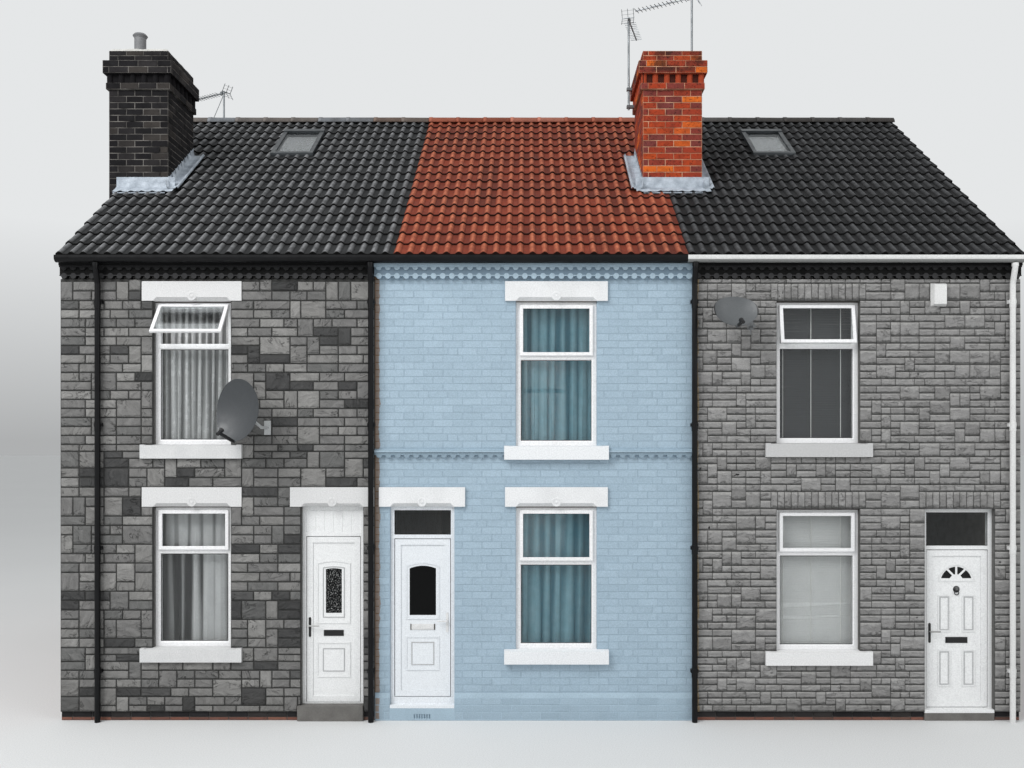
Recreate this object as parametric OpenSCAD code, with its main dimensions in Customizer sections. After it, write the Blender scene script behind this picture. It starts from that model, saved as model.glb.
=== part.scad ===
/* [Row] */
// Depth of the houses, from the front brick face to the back one
house_d = 8290; // [7400:10:9200]
// Thickness of the front and back walls
wall_t = 225; // [200:5:280]
// Thickness of the party walls and the end walls
party_t = 225; // [200:5:260]
// Thickness of the stone facing on the clad houses
clad_t = 30; // [20:1:40]
// Height of the wall top, where the roof timbers rest
wall_top_z = 5590; // [5500:5:5700]
// Head of the ground storey windows and doors
lower_head_z = 2620; // [2560:5:2660]
// Head of the upper windows
upper_head_z = 5140; // [5080:5:5180]
// Top of the upper floor
upper_floor_z = 2960; // [2900:5:3020]
// Thickness of the upper floor
upper_floor_t = 220; // [180:5:260]
// Thickness of the ceiling over the upper rooms
ceiling_t = 140; // [100:5:180]

/* [Left house] */
// Width of the left house between its party lines
left_w = 3730; // [3500:10:4200]
// Height of the left house's ground floor
left_floor_z = 170; // [120:5:200]
// From the left party line to the middle of the left house's windows
left_window_x = 1494; // [1350:2:1700]
// Width of the left house's window frames
left_window_w = 955; // [850:5:1050]
// Height of the left house's lower window
left_lower_h = 1725; // [1600:5:1780]
// Height of the left house's upper window
left_upper_h = 1760; // [1650:5:1800]
// From the party line to the middle of the left house's door
left_door_x = 520; // [510:2:640]
// Width of the left house's door frame
left_door_w = 765; // [700:5:775]
// Underside of the left house's door frame
left_door_z = 188; // [160:2:220]
// Height of the left house's threshold
left_threshold_h = 12; // [10:1:30]
// Height of the left house's door leaf
left_leaf_h = 2035; // [1960:5:2080]
// Depth of the left house's window and door frames behind the brick face
left_reveal = 55; // [40:1:80]
// Height of the left house's top-hung sashes
left_vent_h = 455; // [400:5:520]
// Opening angle of the left house's upper sash
left_vent_angle = 40; // [5:1:45]

/* [Middle house] */
// Width of the middle house between its party lines
middle_w = 3900; // [3700:10:4300]
// Height of the middle house's ground floor
middle_floor_z = 150; // [120:5:180]
// From the middle house's left party line to the middle of its windows
middle_window_x = 2225; // [2150:5:2400]
// Width of the middle house's window frames
middle_window_w = 993; // [850:5:1050]
// Height of the middle house's lower window
middle_lower_h = 1750; // [1600:5:1790]
// Height of the middle house's upper window
middle_upper_h = 1774; // [1650:5:1800]
// From the party line to the middle of the middle house's door
middle_door_x = 580; // [560:2:640]
// Width of the middle house's door frame
middle_door_w = 790; // [740:5:810]
// Underside of the middle house's door frame
middle_door_z = 151; // [120:2:180]
// Height of the middle house's threshold
middle_threshold_h = 122; // [90:2:140]
// Height of the middle house's door leaf
middle_leaf_h = 1935; // [1880:5:1980]
// Depth of the middle house's window and door frames behind the brick face
middle_reveal = 40; // [30:1:80]
// Height of the middle house's top sashes
middle_vent_h = 590; // [500:5:640]

/* [Right house] */
// Width of the right house between its party lines
right_w = 3890; // [3700:10:4300]
// Height of the right house's ground floor
right_floor_z = 95; // [70:5:130]
// From the right house's left party line to the middle of its windows
right_window_x = 1530; // [1400:2:1700]
// Width of the right house's window frames
right_window_w = 1020; // [900:5:1060]
// Height of the right house's lower window
right_lower_h = 1736; // [1600:2:1780]
// Height of the right house's upper window
right_upper_h = 1742; // [1650:2:1780]
// From the right party line to the middle of the right house's door
right_door_x = 629; // [600:2:680]
// Width of the right house's door frame
right_door_w = 856; // [800:2:880]
// Underside of the right house's door frame
right_door_z = 93; // [70:1:120]
// Height of the right house's threshold
right_threshold_h = 48; // [30:2:70]
// Height of the right house's door leaf
right_leaf_h = 1930; // [1880:5:1980]
// Drop of the right house's lower heads below the others
right_drop = 28; // [0:1:40]
// Depth of the right house's window and door frames behind the brick face
right_reveal = 45; // [30:1:80]
// Height of the right house's top sashes
right_vent_h = 450; // [400:5:520]
// Opening angle of the right house's upper sash
right_vent_angle = 10; // [2:1:30]

/* [Roof] */
// Pitch of the roof
roof_pitch = 35; // [32:0.5:38]
// Height of the tiles' top at the eaves edge
eaves_z = 5697; // [5690:1:5720]
// Overhang of the tiles past the brick face
eaves_out = 174; // [165:1:190]
// Thickness of the tiles with their battens and boarded rafters
deck_t = 90; // [80:1:120]
// Thickness of the tiles alone, upright, at the eaves edge
tile_v = 24; // [20:1:30]
// How far the left roof runs past its right party line
left_roof_past = 250; // [100:5:300]
// How far the middle roof stops short of its right party line
middle_roof_short = 80; // [40:5:150]
// Radius of the ridge tiles
ridge_r = 115; // [100:1:130]
// Width of the roof windows
roof_window_w = 640; // [550:5:780]
// Length of the roof windows up the slope
roof_window_l = 1100; // [900:5:1180]

/* [Chimneys] */
// Width of the stacks along the row
stack_w = 820; // [700:5:900]
// Depth of the stacks across the row
stack_d = 1020; // [900:5:1120]
// From the front brick face to the front of the stacks
stack_y = 1596; // [1500:2:1700]
// Height of the plain shafts' top
shaft_top_z = 8307; // [8200:1:8500]
// Step of each projecting course
corbel_step = 32; // [20:1:40]
// Height of one brick course with its joint
course_h = 88; // [80:1:92]
// Outer diameter of the flue on the left stack
flue_d = 163; // [120:1:200]

/* [Openings' dressings] */
// Height of the window and door lintels
lintel_h = 238; // [200:2:250]
// How far a lintel bears past its opening on each side
lintel_bearing = 132; // [110:1:150]
// How far the lintels stand proud of the brick face
lintel_out = 42; // [35:1:60]
// Height of the window sills
sill_h = 170; // [140:2:180]
// How far a sill runs past its opening on each side
sill_past = 142; // [100:1:150]
// How far the sills stand proud of the brick face
sill_out = 85; // [60:1:110]
// Radius of the round boss under each lintel
boss_r = 57; // [40:1:65]
// Width of a frame member round a window
frame_face = 62; // [50:1:70]
// Thickness of the window and door frames from front to back
frame_t = 70; // [60:1:80]
// Width of a sash member
sash_face = 42; // [35:1:50]
// Thickness of the glass units
glass_t = 24; // [20:1:28]

/* [Doors] */
// Thickness of the door leaves
leaf_t = 60; // [50:1:65]
// Clear gap round each door leaf
leaf_gap = 8; // [8:0.5:11]
// Width of the upright door frame members
jamb_face = 47; // [40:1:52]
// Width of the stiles round each leaf's sunk panel
stile_w = 72; // [60:1:85]
// Depth that the panels are sunk into the leaf
panel_sunk = 13; // [8:1:16]
// Width of the raised mouldings on the panels
moulding_w = 20; // [14:1:24]

/* [Rainwater] */
// Outer width of the gutters
gutter_w = 112; // [100:1:120]
// Depth of the gutters
gutter_h = 84; // [75:1:90]
// Outer diameter of the downpipes
pipe_d = 68; // [60:1:76]
// Gap between the downpipes and the wall face
pipe_off = 30; // [24:1:40]

/* [Dishes and aerials] */
// From the left party line to the middle of the left dish
left_dish_x = 2190; // [2100:5:2300]
// Height of the left dish's middle
left_dish_z = 3780; // [3700:5:3900]
// Width of the left dish
left_dish_w = 610; // [500:5:700]
// Height of the left dish's oval
left_dish_h = 750; // [600:5:820]
// From the wall to the middle of the left dish
left_dish_out = 330; // [300:5:380]
// From the right party line to the middle of the right dish
right_dish_x = 448; // [400:2:600]
// Height of the right dish's middle
right_dish_z = 4950; // [4850:5:5000]
// Width of the right dish's oval
right_dish_w = 540; // [450:5:600]
// Height of the right dish's oval
right_dish_h = 410; // [350:5:450]
// From the wall to the middle of the right dish
right_dish_out = 260; // [240:5:300]
// Reach of the left dish's feed arm
feed_reach = 360; // [280:5:400]
// Outer diameter of the aerial masts
mast_d = 30; // [25:1:38]
// Height of the tall mast over the right stack
tall_mast_h = 910; // [700:10:1000]
// Length of the tall mast's aerial
tall_boom_l = 870; // [600:10:950]
// Height of the side mast over the right stack
side_mast_h = 820; // [600:10:900]
// Length of the side mast's aerial
side_boom_l = 760; // [500:10:850]
// Height of the left house's mast over the ridge
ridge_mast_h = 610; // [450:10:700]
// Length of the left house's aerial
ridge_boom_l = 640; // [500:10:700]

/* [Hidden] */
$fn = 48;
eps = 1;
wall_face_y = -house_d / 2;
wall_back_y = wall_face_y + wall_t;
rear_face_y = house_d / 2;
rear_back_y = rear_face_y - wall_t;
row_w = left_w + middle_w + right_w;
line_0 = -row_w / 2;
line_1 = line_0 + left_w;
line_2 = line_1 + middle_w;
line_3 = line_2 + right_w;
row_l = line_0 - party_t / 2;
row_r = line_3 + party_t / 2;
right_head_z = lower_head_z - right_drop;

// Roof surfaces: height of the tiles' top, the tiles' underside and the deck's underside at any Y
ridge_z = eaves_z + (house_d / 2 + eaves_out) * tan(roof_pitch);
deck_v = deck_t / cos(roof_pitch);
function top_z(y) = ridge_z - abs(y) * tan(roof_pitch);
function under_z(y) = top_z(y) - deck_v;
tile_edge_y = wall_face_y - eaves_out;

// Eaves: the projecting course, the fascia on it and the gutter before the fascia
course_out = 90;
fascia_t = 25;
fascia_y = wall_face_y - course_out;
timber_y = fascia_y + fascia_t;
gutter_gap = 6;
gutter_y = fascia_y - gutter_gap - gutter_w / 2;
gutter_top_z = eaves_z - tile_v - 2;
gutter_t = 4;
band_strip_h = 26;
band_bottom_z = wall_top_z - 145;
moulding_pitch = 110;
moulding_r = 35;

// Openings of each house: [centre, width, bottom, top]
left_x = line_0 + left_window_x;
middle_x = line_1 + middle_window_x;
right_x = line_2 + right_window_x;
left_low = [left_x, left_window_w, lower_head_z - left_lower_h, lower_head_z];
left_up = [left_x, left_window_w, upper_head_z - left_upper_h, upper_head_z];
middle_low = [middle_x, middle_window_w, lower_head_z - middle_lower_h, lower_head_z];
middle_up = [middle_x, middle_window_w, upper_head_z - middle_upper_h, upper_head_z];
right_low = [right_x, right_window_w, right_head_z - right_lower_h, right_head_z];
right_up = [right_x, right_window_w, upper_head_z - right_upper_h, upper_head_z];
left_door = [line_1 - left_door_x, left_door_w, left_door_z, lower_head_z];
middle_door = [line_1 + middle_door_x, middle_door_w, middle_door_z, lower_head_z];
right_door = [line_3 - right_door_x, right_door_w, right_door_z, right_head_z];
doors = [left_door, middle_door, right_door];
thresholds = [left_threshold_h, middle_threshold_h, right_threshold_h];
leaf_heights = [left_leaf_h, middle_leaf_h, right_leaf_h];
windows = [left_low, left_up, middle_low, middle_up, right_low, right_up];
reveals = [left_reveal, left_reveal, middle_reveal, middle_reveal, right_reveal, right_reveal];
door_reveals = [left_reveal, middle_reveal, right_reveal];
vents = [left_vent_h, left_vent_h, middle_vent_h, middle_vent_h, right_vent_h, right_vent_h];
vent_angles = [0, left_vent_angle, 0, 0, 0, right_vent_angle];
lintel_d = 110;
sill_d = 150;
lintel_chamfer = 45;
back_reveal = 60;
transom_face = 70;

// Chimney stacks: centres along the row and the two faces across it
left_stack_in = 190;
right_stack_out = 13;
ceiling_rise = 120;
left_stack_x = line_0 + left_stack_in;
right_stack_x = line_2 - right_stack_out;
stack_front_y = wall_face_y + stack_y;
stack_back_y = stack_front_y + stack_d;
ceiling_top_z = upper_head_z + ceiling_rise + ceiling_t;

// A box between two corners' ranges
module block(x, y, z) {
    translate([x[0], y[0], z[0]])
        cube([x[1] - x[0], y[1] - y[0], z[1] - z[0]]);
}

// A section drawn in Y and Z, run along the row from x0 to x1
module along_row(x0, x1) {
    translate([x0, 0, 0])
        rotate([90, 0, 90])
            linear_extrude(x1 - x0) children();
}

// An outline drawn in X and Z, from y0 back to y1
module across_row(y0, y1) {
    translate([0, y1, 0])
        rotate([90, 0, 0])
            linear_extrude(y1 - y0) children();
}

function left_of(o) = o[0] - o[1] / 2;
function right_of(o) = o[0] + o[1] / 2;

// The hole of an opening right through a wall between y0 and y1
module hole(o, y0, y1) {
    block([left_of(o), right_of(o)], [y0 - eps, y1 + eps], [o[2], o[3]]);
}

// Seats of the lintel and the sill of an opening in the front wall
module lintel_seat(o) {
    block([left_of(o) - lintel_bearing, right_of(o) + lintel_bearing],
        [wall_face_y - eps, wall_face_y + lintel_d], [o[3], o[3] + lintel_h]);
}
module sill_seat(o) {
    block([left_of(o) - sill_past, right_of(o) + sill_past],
        [wall_face_y - eps, wall_face_y + sill_d], [o[2] - sill_h, o[2]]);
}

// Front wall of one house beside its door, with two windows; lintelled lists what has a lintel
module front_wall(x0, x1, low, up, lintelled) {
    difference() {
        block([x0, x1], [wall_face_y, wall_back_y], [0, wall_top_z]);
        for (o = [low, up]) {
            hole(o, wall_face_y, wall_back_y);
            sill_seat(o);
        }
        for (o = lintelled) lintel_seat(o);
    }
}

module front_wall_left() {
    color("gray")
        front_wall(row_l, left_of(left_door), left_low, left_up, [left_low, left_up, left_door]);
}

module front_wall_middle() {
    color("lightsteelblue")
        front_wall(right_of(middle_door), line_2, middle_low, middle_up,
            [middle_low, middle_up, middle_door]);
}

module front_wall_right() {
    color("gray")
        front_wall(line_2, left_of(right_door), right_low, right_up, []);
}

// The pier between the two paired doors and the one at the right end
module door_piers() {
    color("slategray") {
        difference() {
            block([right_of(left_door), left_of(middle_door)], [wall_face_y, wall_back_y], [0, wall_top_z]);
            lintel_seat(left_door);
            lintel_seat(middle_door);
        }
        block([right_of(right_door), row_r], [wall_face_y, wall_back_y], [0, wall_top_z]);
    }
}

module walls_over_doors() {
    color("slategray")
        difference() {
            for (o = doors)
                block([left_of(o), right_of(o)], [wall_face_y, wall_back_y], [o[3], wall_top_z]);
            lintel_seat(left_door);
            lintel_seat(middle_door);
        }
}

// Back openings repeat the front ones, a little narrower
back_door_w = 820;
back_door_h = 2050;
back_door_in = 760;
function back_door_of(o, floor_z) = [o[0], back_door_w, floor_z, floor_z + back_door_h];

module back_wall(x0, x1, low, up, door) {
    difference() {
        block([x0, x1], [rear_back_y, rear_face_y], [0, wall_top_z]);
        for (o = [low, up, door])
            hole(o, rear_back_y, rear_face_y);
    }
}

module back_wall_left() {
    color("indianred")
        back_wall(row_l, line_1, left_low, left_up, left_back_door);
}

module back_wall_middle() {
    color("indianred")
        back_wall(line_1, line_2, middle_low, middle_up, middle_back_door);
}

module back_wall_right() {
    color("indianred")
        back_wall(line_2, row_r, right_low, right_up, right_back_door);
}
left_back_door = back_door_of([line_1 - back_door_in, 0], left_floor_z);
middle_back_door = back_door_of([line_1 + back_door_in, 0], middle_floor_z);
right_back_door = back_door_of([line_3 - back_door_in, 0], right_floor_z);

// One party wall up to the underside of the roof, with room for a stack if it carries one
module party_wall(x, stacked) {
    difference() {
        along_row(x - party_t / 2, x + party_t / 2)
            polygon([[wall_back_y, 0], [rear_back_y, 0], [rear_back_y, under_z(rear_back_y)],
                [0, under_z(0)], [wall_back_y, under_z(wall_back_y)]]);
        if (stacked)
            block([x - party_t, x + party_t], [stack_front_y, stack_back_y], [ceiling_top_z, ridge_z]);
    }
}

module party_walls() {
    color("rosybrown") {
        party_wall(line_0, true);
        party_wall(line_1, false);
        party_wall(line_2, true);
        party_wall(line_3, false);
    }
}

// The breast on the left end wall, which carries the stack's overhang
module chimney_breast() {
    color("dimgray")
        block([left_stack_x - stack_w / 2, row_l], [stack_front_y, stack_back_y], [0, ceiling_top_z]);
}

// A slab in each house, between the party walls and the outer walls
module house_slabs(tops, thicknesses) {
    lines = [line_0, line_1, line_2, line_3];
    for (i = [0:2])
        block([lines[i] + party_t / 2, lines[i + 1] - party_t / 2], [wall_back_y, rear_back_y],
            [tops[i] - thicknesses[i], tops[i]]);
}

module ground_floors() {
    floors = [left_floor_z, middle_floor_z, right_floor_z];
    color("silver") house_slabs(floors, floors);
}

module upper_floors() {
    color("burlywood")
        house_slabs([for (i = [0:2]) upper_floor_z], [for (i = [0:2]) upper_floor_t]);
}

module ceilings() {
    color("whitesmoke")
        house_slabs([for (i = [0:2]) ceiling_top_z], [for (i = [0:2]) ceiling_t]);
}

// Wall plates and rafter feet over the front and back walls
module eaves_timber() {
    along_row(row_l, row_r)
        polygon([[timber_y, wall_top_z], [wall_back_y, wall_top_z],
            [wall_back_y, under_z(wall_back_y)], [timber_y, under_z(timber_y)]]);
}

module eaves_timbers() {
    color("peru") {
        eaves_timber();
        mirror([0, 1, 0]) eaves_timber();
    }
}

// One slope of the roof: thin over the eaves, and full thickness behind the fascia
module roof_slope(x0, x1) {
    along_row(x0, x1)
        polygon([[tile_edge_y, eaves_z], [0, ridge_z], [0, ridge_z - deck_v],
            [timber_y, under_z(timber_y)], [timber_y, top_z(timber_y) - tile_v],
            [tile_edge_y, eaves_z - tile_v]]);
}

// A stack's passage through the roof
module stack_passage(x) {
    block([x - stack_w / 2, x + stack_w / 2], [stack_front_y, stack_back_y], [ceiling_top_z, ridge_z + eps]);
}

// Roof windows lie in the slope, with their lower edge at a set distance from the eaves
roof_window_up = 3565;
roof_window_past = 12;
left_roof_window_off = 545;
right_roof_window_off = 170;
window_left_x = left_x + left_roof_window_off;
window_right_x = right_x + right_roof_window_off;
module in_slope(x, up) {
    translate([x, tile_edge_y, eaves_z])
        rotate([roof_pitch, 0, 0])
            translate([0, up, 0]) children();
}
module roof_window_hole(x) {
    in_slope(x, roof_window_up)
        translate([-roof_window_w / 2, 0, -2 * deck_t])
            cube([roof_window_w, roof_window_l, 3 * deck_t]);
}

module roof_front_left() {
    color("dimgray")
        difference() {
            roof_slope(row_l, line_1 + left_roof_past);
            stack_passage(left_stack_x);
            roof_window_hole(window_left_x);
        }
}

module roof_front_middle() {
    color("firebrick")
        difference() {
            roof_slope(line_1 + left_roof_past, line_2 - middle_roof_short);
            stack_passage(right_stack_x);
        }
}

module roof_front_right() {
    color("dimgray")
        difference() {
            roof_slope(line_2 - middle_roof_short, row_r);
            stack_passage(right_stack_x);
            roof_window_hole(window_right_x);
        }
}

module roof_back() {
    color("dimgray")
        mirror([0, 1, 0]) roof_slope(row_l, row_r);
}

// Half-round ridge tiles, bedded on both slopes
ridge_t = 18;
ridge_rise = 25;
bed = 0.3;
ridge_centre_z = ridge_z + ridge_rise - ridge_r;
ridge_tile_l = 450;
ridge_collar_w = 55;
ridge_collar_t = 6;
module ridge_section(r) {
    difference() {
        translate([0, ridge_centre_z]) circle(r);
        translate([0, ridge_centre_z]) circle(ridge_r - ridge_t);
        translate([0, bed])
            polygon([[-2 * ridge_r, 0], [-2 * ridge_r, top_z(2 * ridge_r)], [0, ridge_z],
                [2 * ridge_r, top_z(2 * ridge_r)], [2 * ridge_r, 0]]);
    }
}
module ridge_tiles() {
    n = round(row_w / ridge_tile_l);
    pitch = (row_r - row_l) / n;
    color("sienna") {
        along_row(row_l, row_r) ridge_section(ridge_r);
        for (i = [0 : n - 1])
            along_row(row_l + i * pitch, row_l + i * pitch + ridge_collar_w)
                ridge_section(ridge_r + ridge_collar_t);
    }
}

// A square course of a stack, standing out past the shaft
module stack_course(x, out, z0, z1) {
    block([x - stack_w / 2 - out, x + stack_w / 2 + out],
        [stack_front_y - out, stack_back_y + out], [z0, z1]);
}

// A course of rounded dentils on the two faces along the row and the two across it
dentil_r = 44;
dentil_h = 125;
module dentil(x, y) {
    translate([x, y, shaft_top_z + course_h]) cylinder(r = dentil_r, h = dentil_h);
}
module stack_dentils(x) {
    across = 6;
    deep = 7;
    step_x = (stack_w + 2 * corbel_step - 2 * dentil_r) / (across - 1);
    step_y = (stack_d + 2 * corbel_step - 2 * dentil_r) / (deep - 1);
    x0 = x - stack_w / 2 - corbel_step + dentil_r;
    y0 = stack_front_y - corbel_step + dentil_r;
    for (i = [0:across - 1])
        for (y = [y0, y0 + (deep - 1) * step_y])
            dentil(x0 + i * step_x, y);
    for (j = [1:deep - 2])
        for (i = [0, across - 1])
            dentil(x0 + i * step_x, y0 + j * step_y);
}

cap_z = shaft_top_z + course_h + dentil_h;
crown_z = cap_z + 2 * course_h;
stack_top_z = crown_z + 1.75 * course_h;
module chimney_stack(x) {
    stack_course(x, 0, ceiling_top_z, stack_top_z);
    stack_course(x, corbel_step, shaft_top_z, shaft_top_z + course_h);
    stack_dentils(x);
    stack_course(x, 2 * corbel_step, cap_z, crown_z);
}

module chimney_stack_left() {
    color("dimgray") chimney_stack(left_stack_x);
}

module chimney_stack_right() {
    color("orangered") chimney_stack(right_stack_x);
}

// Lead apron before each stack and a band of lead up each side
lead_t = 6;
lead_w = 150;
module flashing(x) {
    x0 = max(x - stack_w / 2, row_l + lead_t);
    x1 = x + stack_w / 2;
    for (s = x0 > row_l + lead_t ? [x0 - lead_t, x1] : [x1])
        along_row(s, s + lead_t)
            polygon([[stack_front_y, top_z(stack_front_y)],
                [stack_front_y, top_z(stack_front_y) + lead_w],
                [stack_back_y, top_z(stack_back_y) + lead_w], [stack_back_y, top_z(stack_back_y)]]);
    along_row(x0 - lead_t, x1 + lead_t)
        polygon([[stack_front_y, top_z(stack_front_y)], [stack_front_y, top_z(stack_front_y) + lead_w],
            [stack_front_y - lead_t, top_z(stack_front_y) + lead_w],
            [stack_front_y - lead_t, top_z(stack_front_y - lead_t) + lead_t],
            [stack_front_y - lead_w, top_z(stack_front_y - lead_w) + lead_t],
            [stack_front_y - lead_w, top_z(stack_front_y - lead_w)]]);
}

module lead_flashings() {
    color("lightgray") {
        flashing(left_stack_x);
        flashing(right_stack_x);
    }
}

// Pale mortar slope on the left stack and the steel flue through it
flaunch_h = 84;
flaunch_in = 80;
flaunch_slope = 110;
flue_h = 450;
flue_off = -180;
flue_t = 8;
cowl_h = 70;
cowl_past = 22;
// A block whose four sides lean inwards by the same amount
module leaning_block(w, d, h, lean) {
    intersection() {
        rotate([90, 0, 90])
            translate([0, 0, -w / 2])
                linear_extrude(w) polygon([[-d / 2, 0], [d / 2, 0], [d / 2 - lean, h], [lean - d / 2, h]]);
        rotate([90, 0, 0])
            translate([0, 0, -d / 2])
                linear_extrude(d) polygon([[-w / 2, 0], [w / 2, 0], [w / 2 - lean, h], [lean - w / 2, h]]);
    }
}
module flue_and_flaunching() {
    flue_y = stack_front_y + stack_d / 2;
    color("gainsboro") {
        translate([left_stack_x, flue_y, stack_top_z])
            leaning_block(stack_w - 2 * flaunch_in, stack_d - 2 * flaunch_in, flaunch_h, flaunch_slope);
        translate([left_stack_x + flue_off, flue_y, stack_top_z + flaunch_h - eps])
            rotate_extrude()
                polygon([[flue_d / 2 - flue_t, flue_t], [flue_d / 2 - flue_t, flue_h - flaunch_h - cowl_h / 2],
                    [0, flue_h - flaunch_h - cowl_h / 2], [0, flue_h - flaunch_h],
                    [flue_d / 2, flue_h - flaunch_h - flue_t],
                    [flue_d / 2 + cowl_past, flue_h - flaunch_h - cowl_h / 2],
                    [flue_d / 2, flue_h - flaunch_h - cowl_h], [flue_d / 2, 0], [0, 0], [0, flue_t]]);
    }
}

// Fascia boards behind the gutters
module fascia_boards() {
    color("black")
        for (s = [0, 1])
            mirror([0, s, 0])
                block([row_l, row_r], [fascia_y, timber_y], [wall_top_z, top_z(fascia_y) - tile_v - 2]);
}

// A deep half-round gutter, seen along the row
module gutter_profile(centre_y) {
    r = gutter_w / 2;
    difference() {
        union() {
            translate([centre_y, gutter_top_z - gutter_h + r]) circle(r);
            translate([centre_y - r, gutter_top_z - gutter_h + r]) square([2 * r, gutter_h - r]);
        }
        translate([centre_y, gutter_top_z - gutter_h + r]) circle(r - gutter_t);
        translate([centre_y - r + gutter_t, gutter_top_z - gutter_h + r])
            square([2 * (r - gutter_t), gutter_h]);
    }
}
// The same outline, filled, closes a gutter's ends
module gutter_stop() {
    r = gutter_w / 2;
    intersection() {
        union() {
            translate([gutter_y, gutter_top_z - gutter_h + r]) circle(r);
            translate([gutter_y - r, gutter_top_z - gutter_h + r]) square([2 * r, gutter_h - r]);
        }
        translate([gutter_y - r, gutter_top_z - gutter_h]) square([2 * r, gutter_h]);
    }
}
arm_step = 900;
arm_w = 20;
module gutter(x0, x1) {
    along_row(x0, x1) gutter_profile(gutter_y);
    for (x = [x0, x1 - gutter_t])
        along_row(x, x + gutter_t) gutter_stop();
    for (x = [x0 + gutter_gap : arm_step : x1 - arm_w])
        block([x, x + arm_w], [gutter_y + gutter_w / 2 - gutter_t, fascia_y],
            [gutter_top_z - gutter_h + gutter_w / 2, gutter_top_z - arm_w / 2]);
}

module gutters_black() {
    color("black") {
        gutter(row_l, white_gutter_x);
        mirror([0, 1, 0]) gutter(row_l, row_r);
    }
}

module gutter_white() {
    color("white") gutter(white_gutter_x, row_r);
}
white_gutter_x = line_2 - 90;

// A downpipe with two bends under its gutter, a socket and a clip at each length
clip_past = 12;
clip_w = 40;
socket_h = 110;
socket_t = 4;
outlet_h = 45;
neck_h = 60;
bend_h = 190;
first_clip_z = 600;
clip_step = 1500;
module downpipe(x, out) {
    pipe_y = wall_face_y - out - pipe_off - pipe_d / 2;
    top = gutter_top_z - gutter_h;
    bend_z = top - neck_h - bend_h;
    translate([x, pipe_y, 0]) cylinder(d = pipe_d, h = bend_z);
    hull() {
        translate([x, pipe_y, bend_z]) cylinder(d = pipe_d, h = eps);
        translate([x, gutter_y, top - neck_h]) cylinder(d = pipe_d, h = eps);
    }
    translate([x, gutter_y, top - neck_h]) cylinder(d = pipe_d, h = neck_h);
    for (z = [first_clip_z : clip_step : bend_z - socket_h]) {
        block([x - pipe_d / 2 - clip_past, x + pipe_d / 2 + clip_past], [pipe_y, wall_face_y - out],
            [z, z + clip_w]);
        translate([x, pipe_y, z - socket_h / 2]) cylinder(d = pipe_d + 2 * socket_t, h = socket_h);
    }
    translate([x, gutter_y, top - outlet_h]) cylinder(d = pipe_d + 3 * socket_t, h = outlet_h);
}

left_pipe_x = line_0 + 367;
paired_pipe_x = line_1 - 36;
right_pipe_x = line_2 + 7;
white_pipe_x = line_3 - 11;
module downpipes_black() {
    color("black") {
        for (x = [left_pipe_x, paired_pipe_x, right_pipe_x]) downpipe(x, clad_t);
        for (x = [left_pipe_x, right_pipe_x])
            mirror([0, 1, 0]) downpipe(x, 0);
    }
}

module downpipe_white() {
    color("white") downpipe(white_pipe_x, clad_t);
}

// Eaves band: a strip, a course with rounded headers, a plain course and one with roundels
header_in = 15;
header_strip_h = 20;
plain_in = 35;
roundel_in = 25;
roundel_strip_h = 12;
roundel_drop = 5;
module eaves_band(x0, x1) {
    n = floor((x1 - x0) / moulding_pitch);
    pitch = (x1 - x0) / n;
    across_row(wall_face_y - course_out, wall_face_y)
        translate([x0, wall_top_z - band_strip_h]) square([x1 - x0, band_strip_h]);
    across_row(wall_face_y - course_out + header_in, wall_face_y)
        moulded_course(x0, n, pitch, wall_top_z - band_strip_h - header_strip_h, header_strip_h);
    across_row(wall_face_y - course_out + plain_in, wall_face_y)
        translate([x0, band_bottom_z]) square([x1 - x0, wall_top_z - band_strip_h - band_bottom_z]);
    across_row(wall_face_y - course_out + roundel_in, wall_face_y)
        moulded_course(x0, n, pitch, band_bottom_z - roundel_drop, roundel_strip_h);
}
// One course of rounded headers hanging below a strip: z is the height of their centres
module moulded_course(x0, n, pitch, z, up) {
    translate([x0, z]) square([n * pitch, up]);
    for (i = [0 : n - 1])
        translate([x0 + (i + 0.5) * pitch, z]) circle(moulding_r);
}

module eaves_band_left() {
    color("dimgray") eaves_band(row_l, line_1);
}

module eaves_band_middle() {
    color("lightblue") eaves_band(line_1, line_2);
}

module eaves_band_right() {
    color("dimgray") eaves_band(line_2, row_r);
}

// String course of the middle house, in two lengths beside the upper sill
string_z = 3252;
string_top_z = 3330;
string_out = 60;
string_rise = 35;
string_strip_h = 18;
module string_length(x0, x1) {
    n = floor((x1 - x0) / moulding_pitch);
    pitch = (x1 - x0) / n;
    along_row(x0, x1)
        polygon([[wall_face_y, string_z + string_rise], [wall_face_y - string_out, string_z + string_rise],
            [wall_face_y - string_out, string_z + string_rise + string_strip_h],
            [wall_face_y, string_top_z]]);
    across_row(wall_face_y - string_out + header_in, wall_face_y)
        moulded_course(x0, n, pitch, string_z, string_rise);
}

module string_course() {
    color("lightblue") {
        string_length(line_1, left_of(middle_up) - sill_past);
        string_length(right_of(middle_up) + sill_past, line_2);
    }
}

// Stone facing of one clad house, open at its windows, door, lintels and sills
clad_base_z = 110;
module cladding(x0, x1, low, up, door, lintelled) {
    y0 = wall_face_y - clad_t;
    difference() {
        block([x0, x1], [y0, wall_face_y], [clad_base_z, band_bottom_z - moulding_r - roundel_drop]);
        for (o = [low, up]) {
            hole(o, y0, wall_face_y);
            block([left_of(o) - sill_past, right_of(o) + sill_past], [y0 - eps, wall_face_y + eps],
                [o[2] - sill_h, o[2]]);
        }
        block([left_of(door), right_of(door)], [y0 - eps, wall_face_y + eps], [0, door[3]]);
        block([left_of(door) - step_past, right_of(door)], [y0 - eps, wall_face_y + eps], [0, door[2]]);
        if (lintelled)
            for (o = [low, up, door])
                block([left_of(o) - lintel_bearing, right_of(o) + lintel_bearing],
                    [y0 - eps, wall_face_y + eps], [o[3], o[3] + lintel_h]);
    }
}

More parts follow.
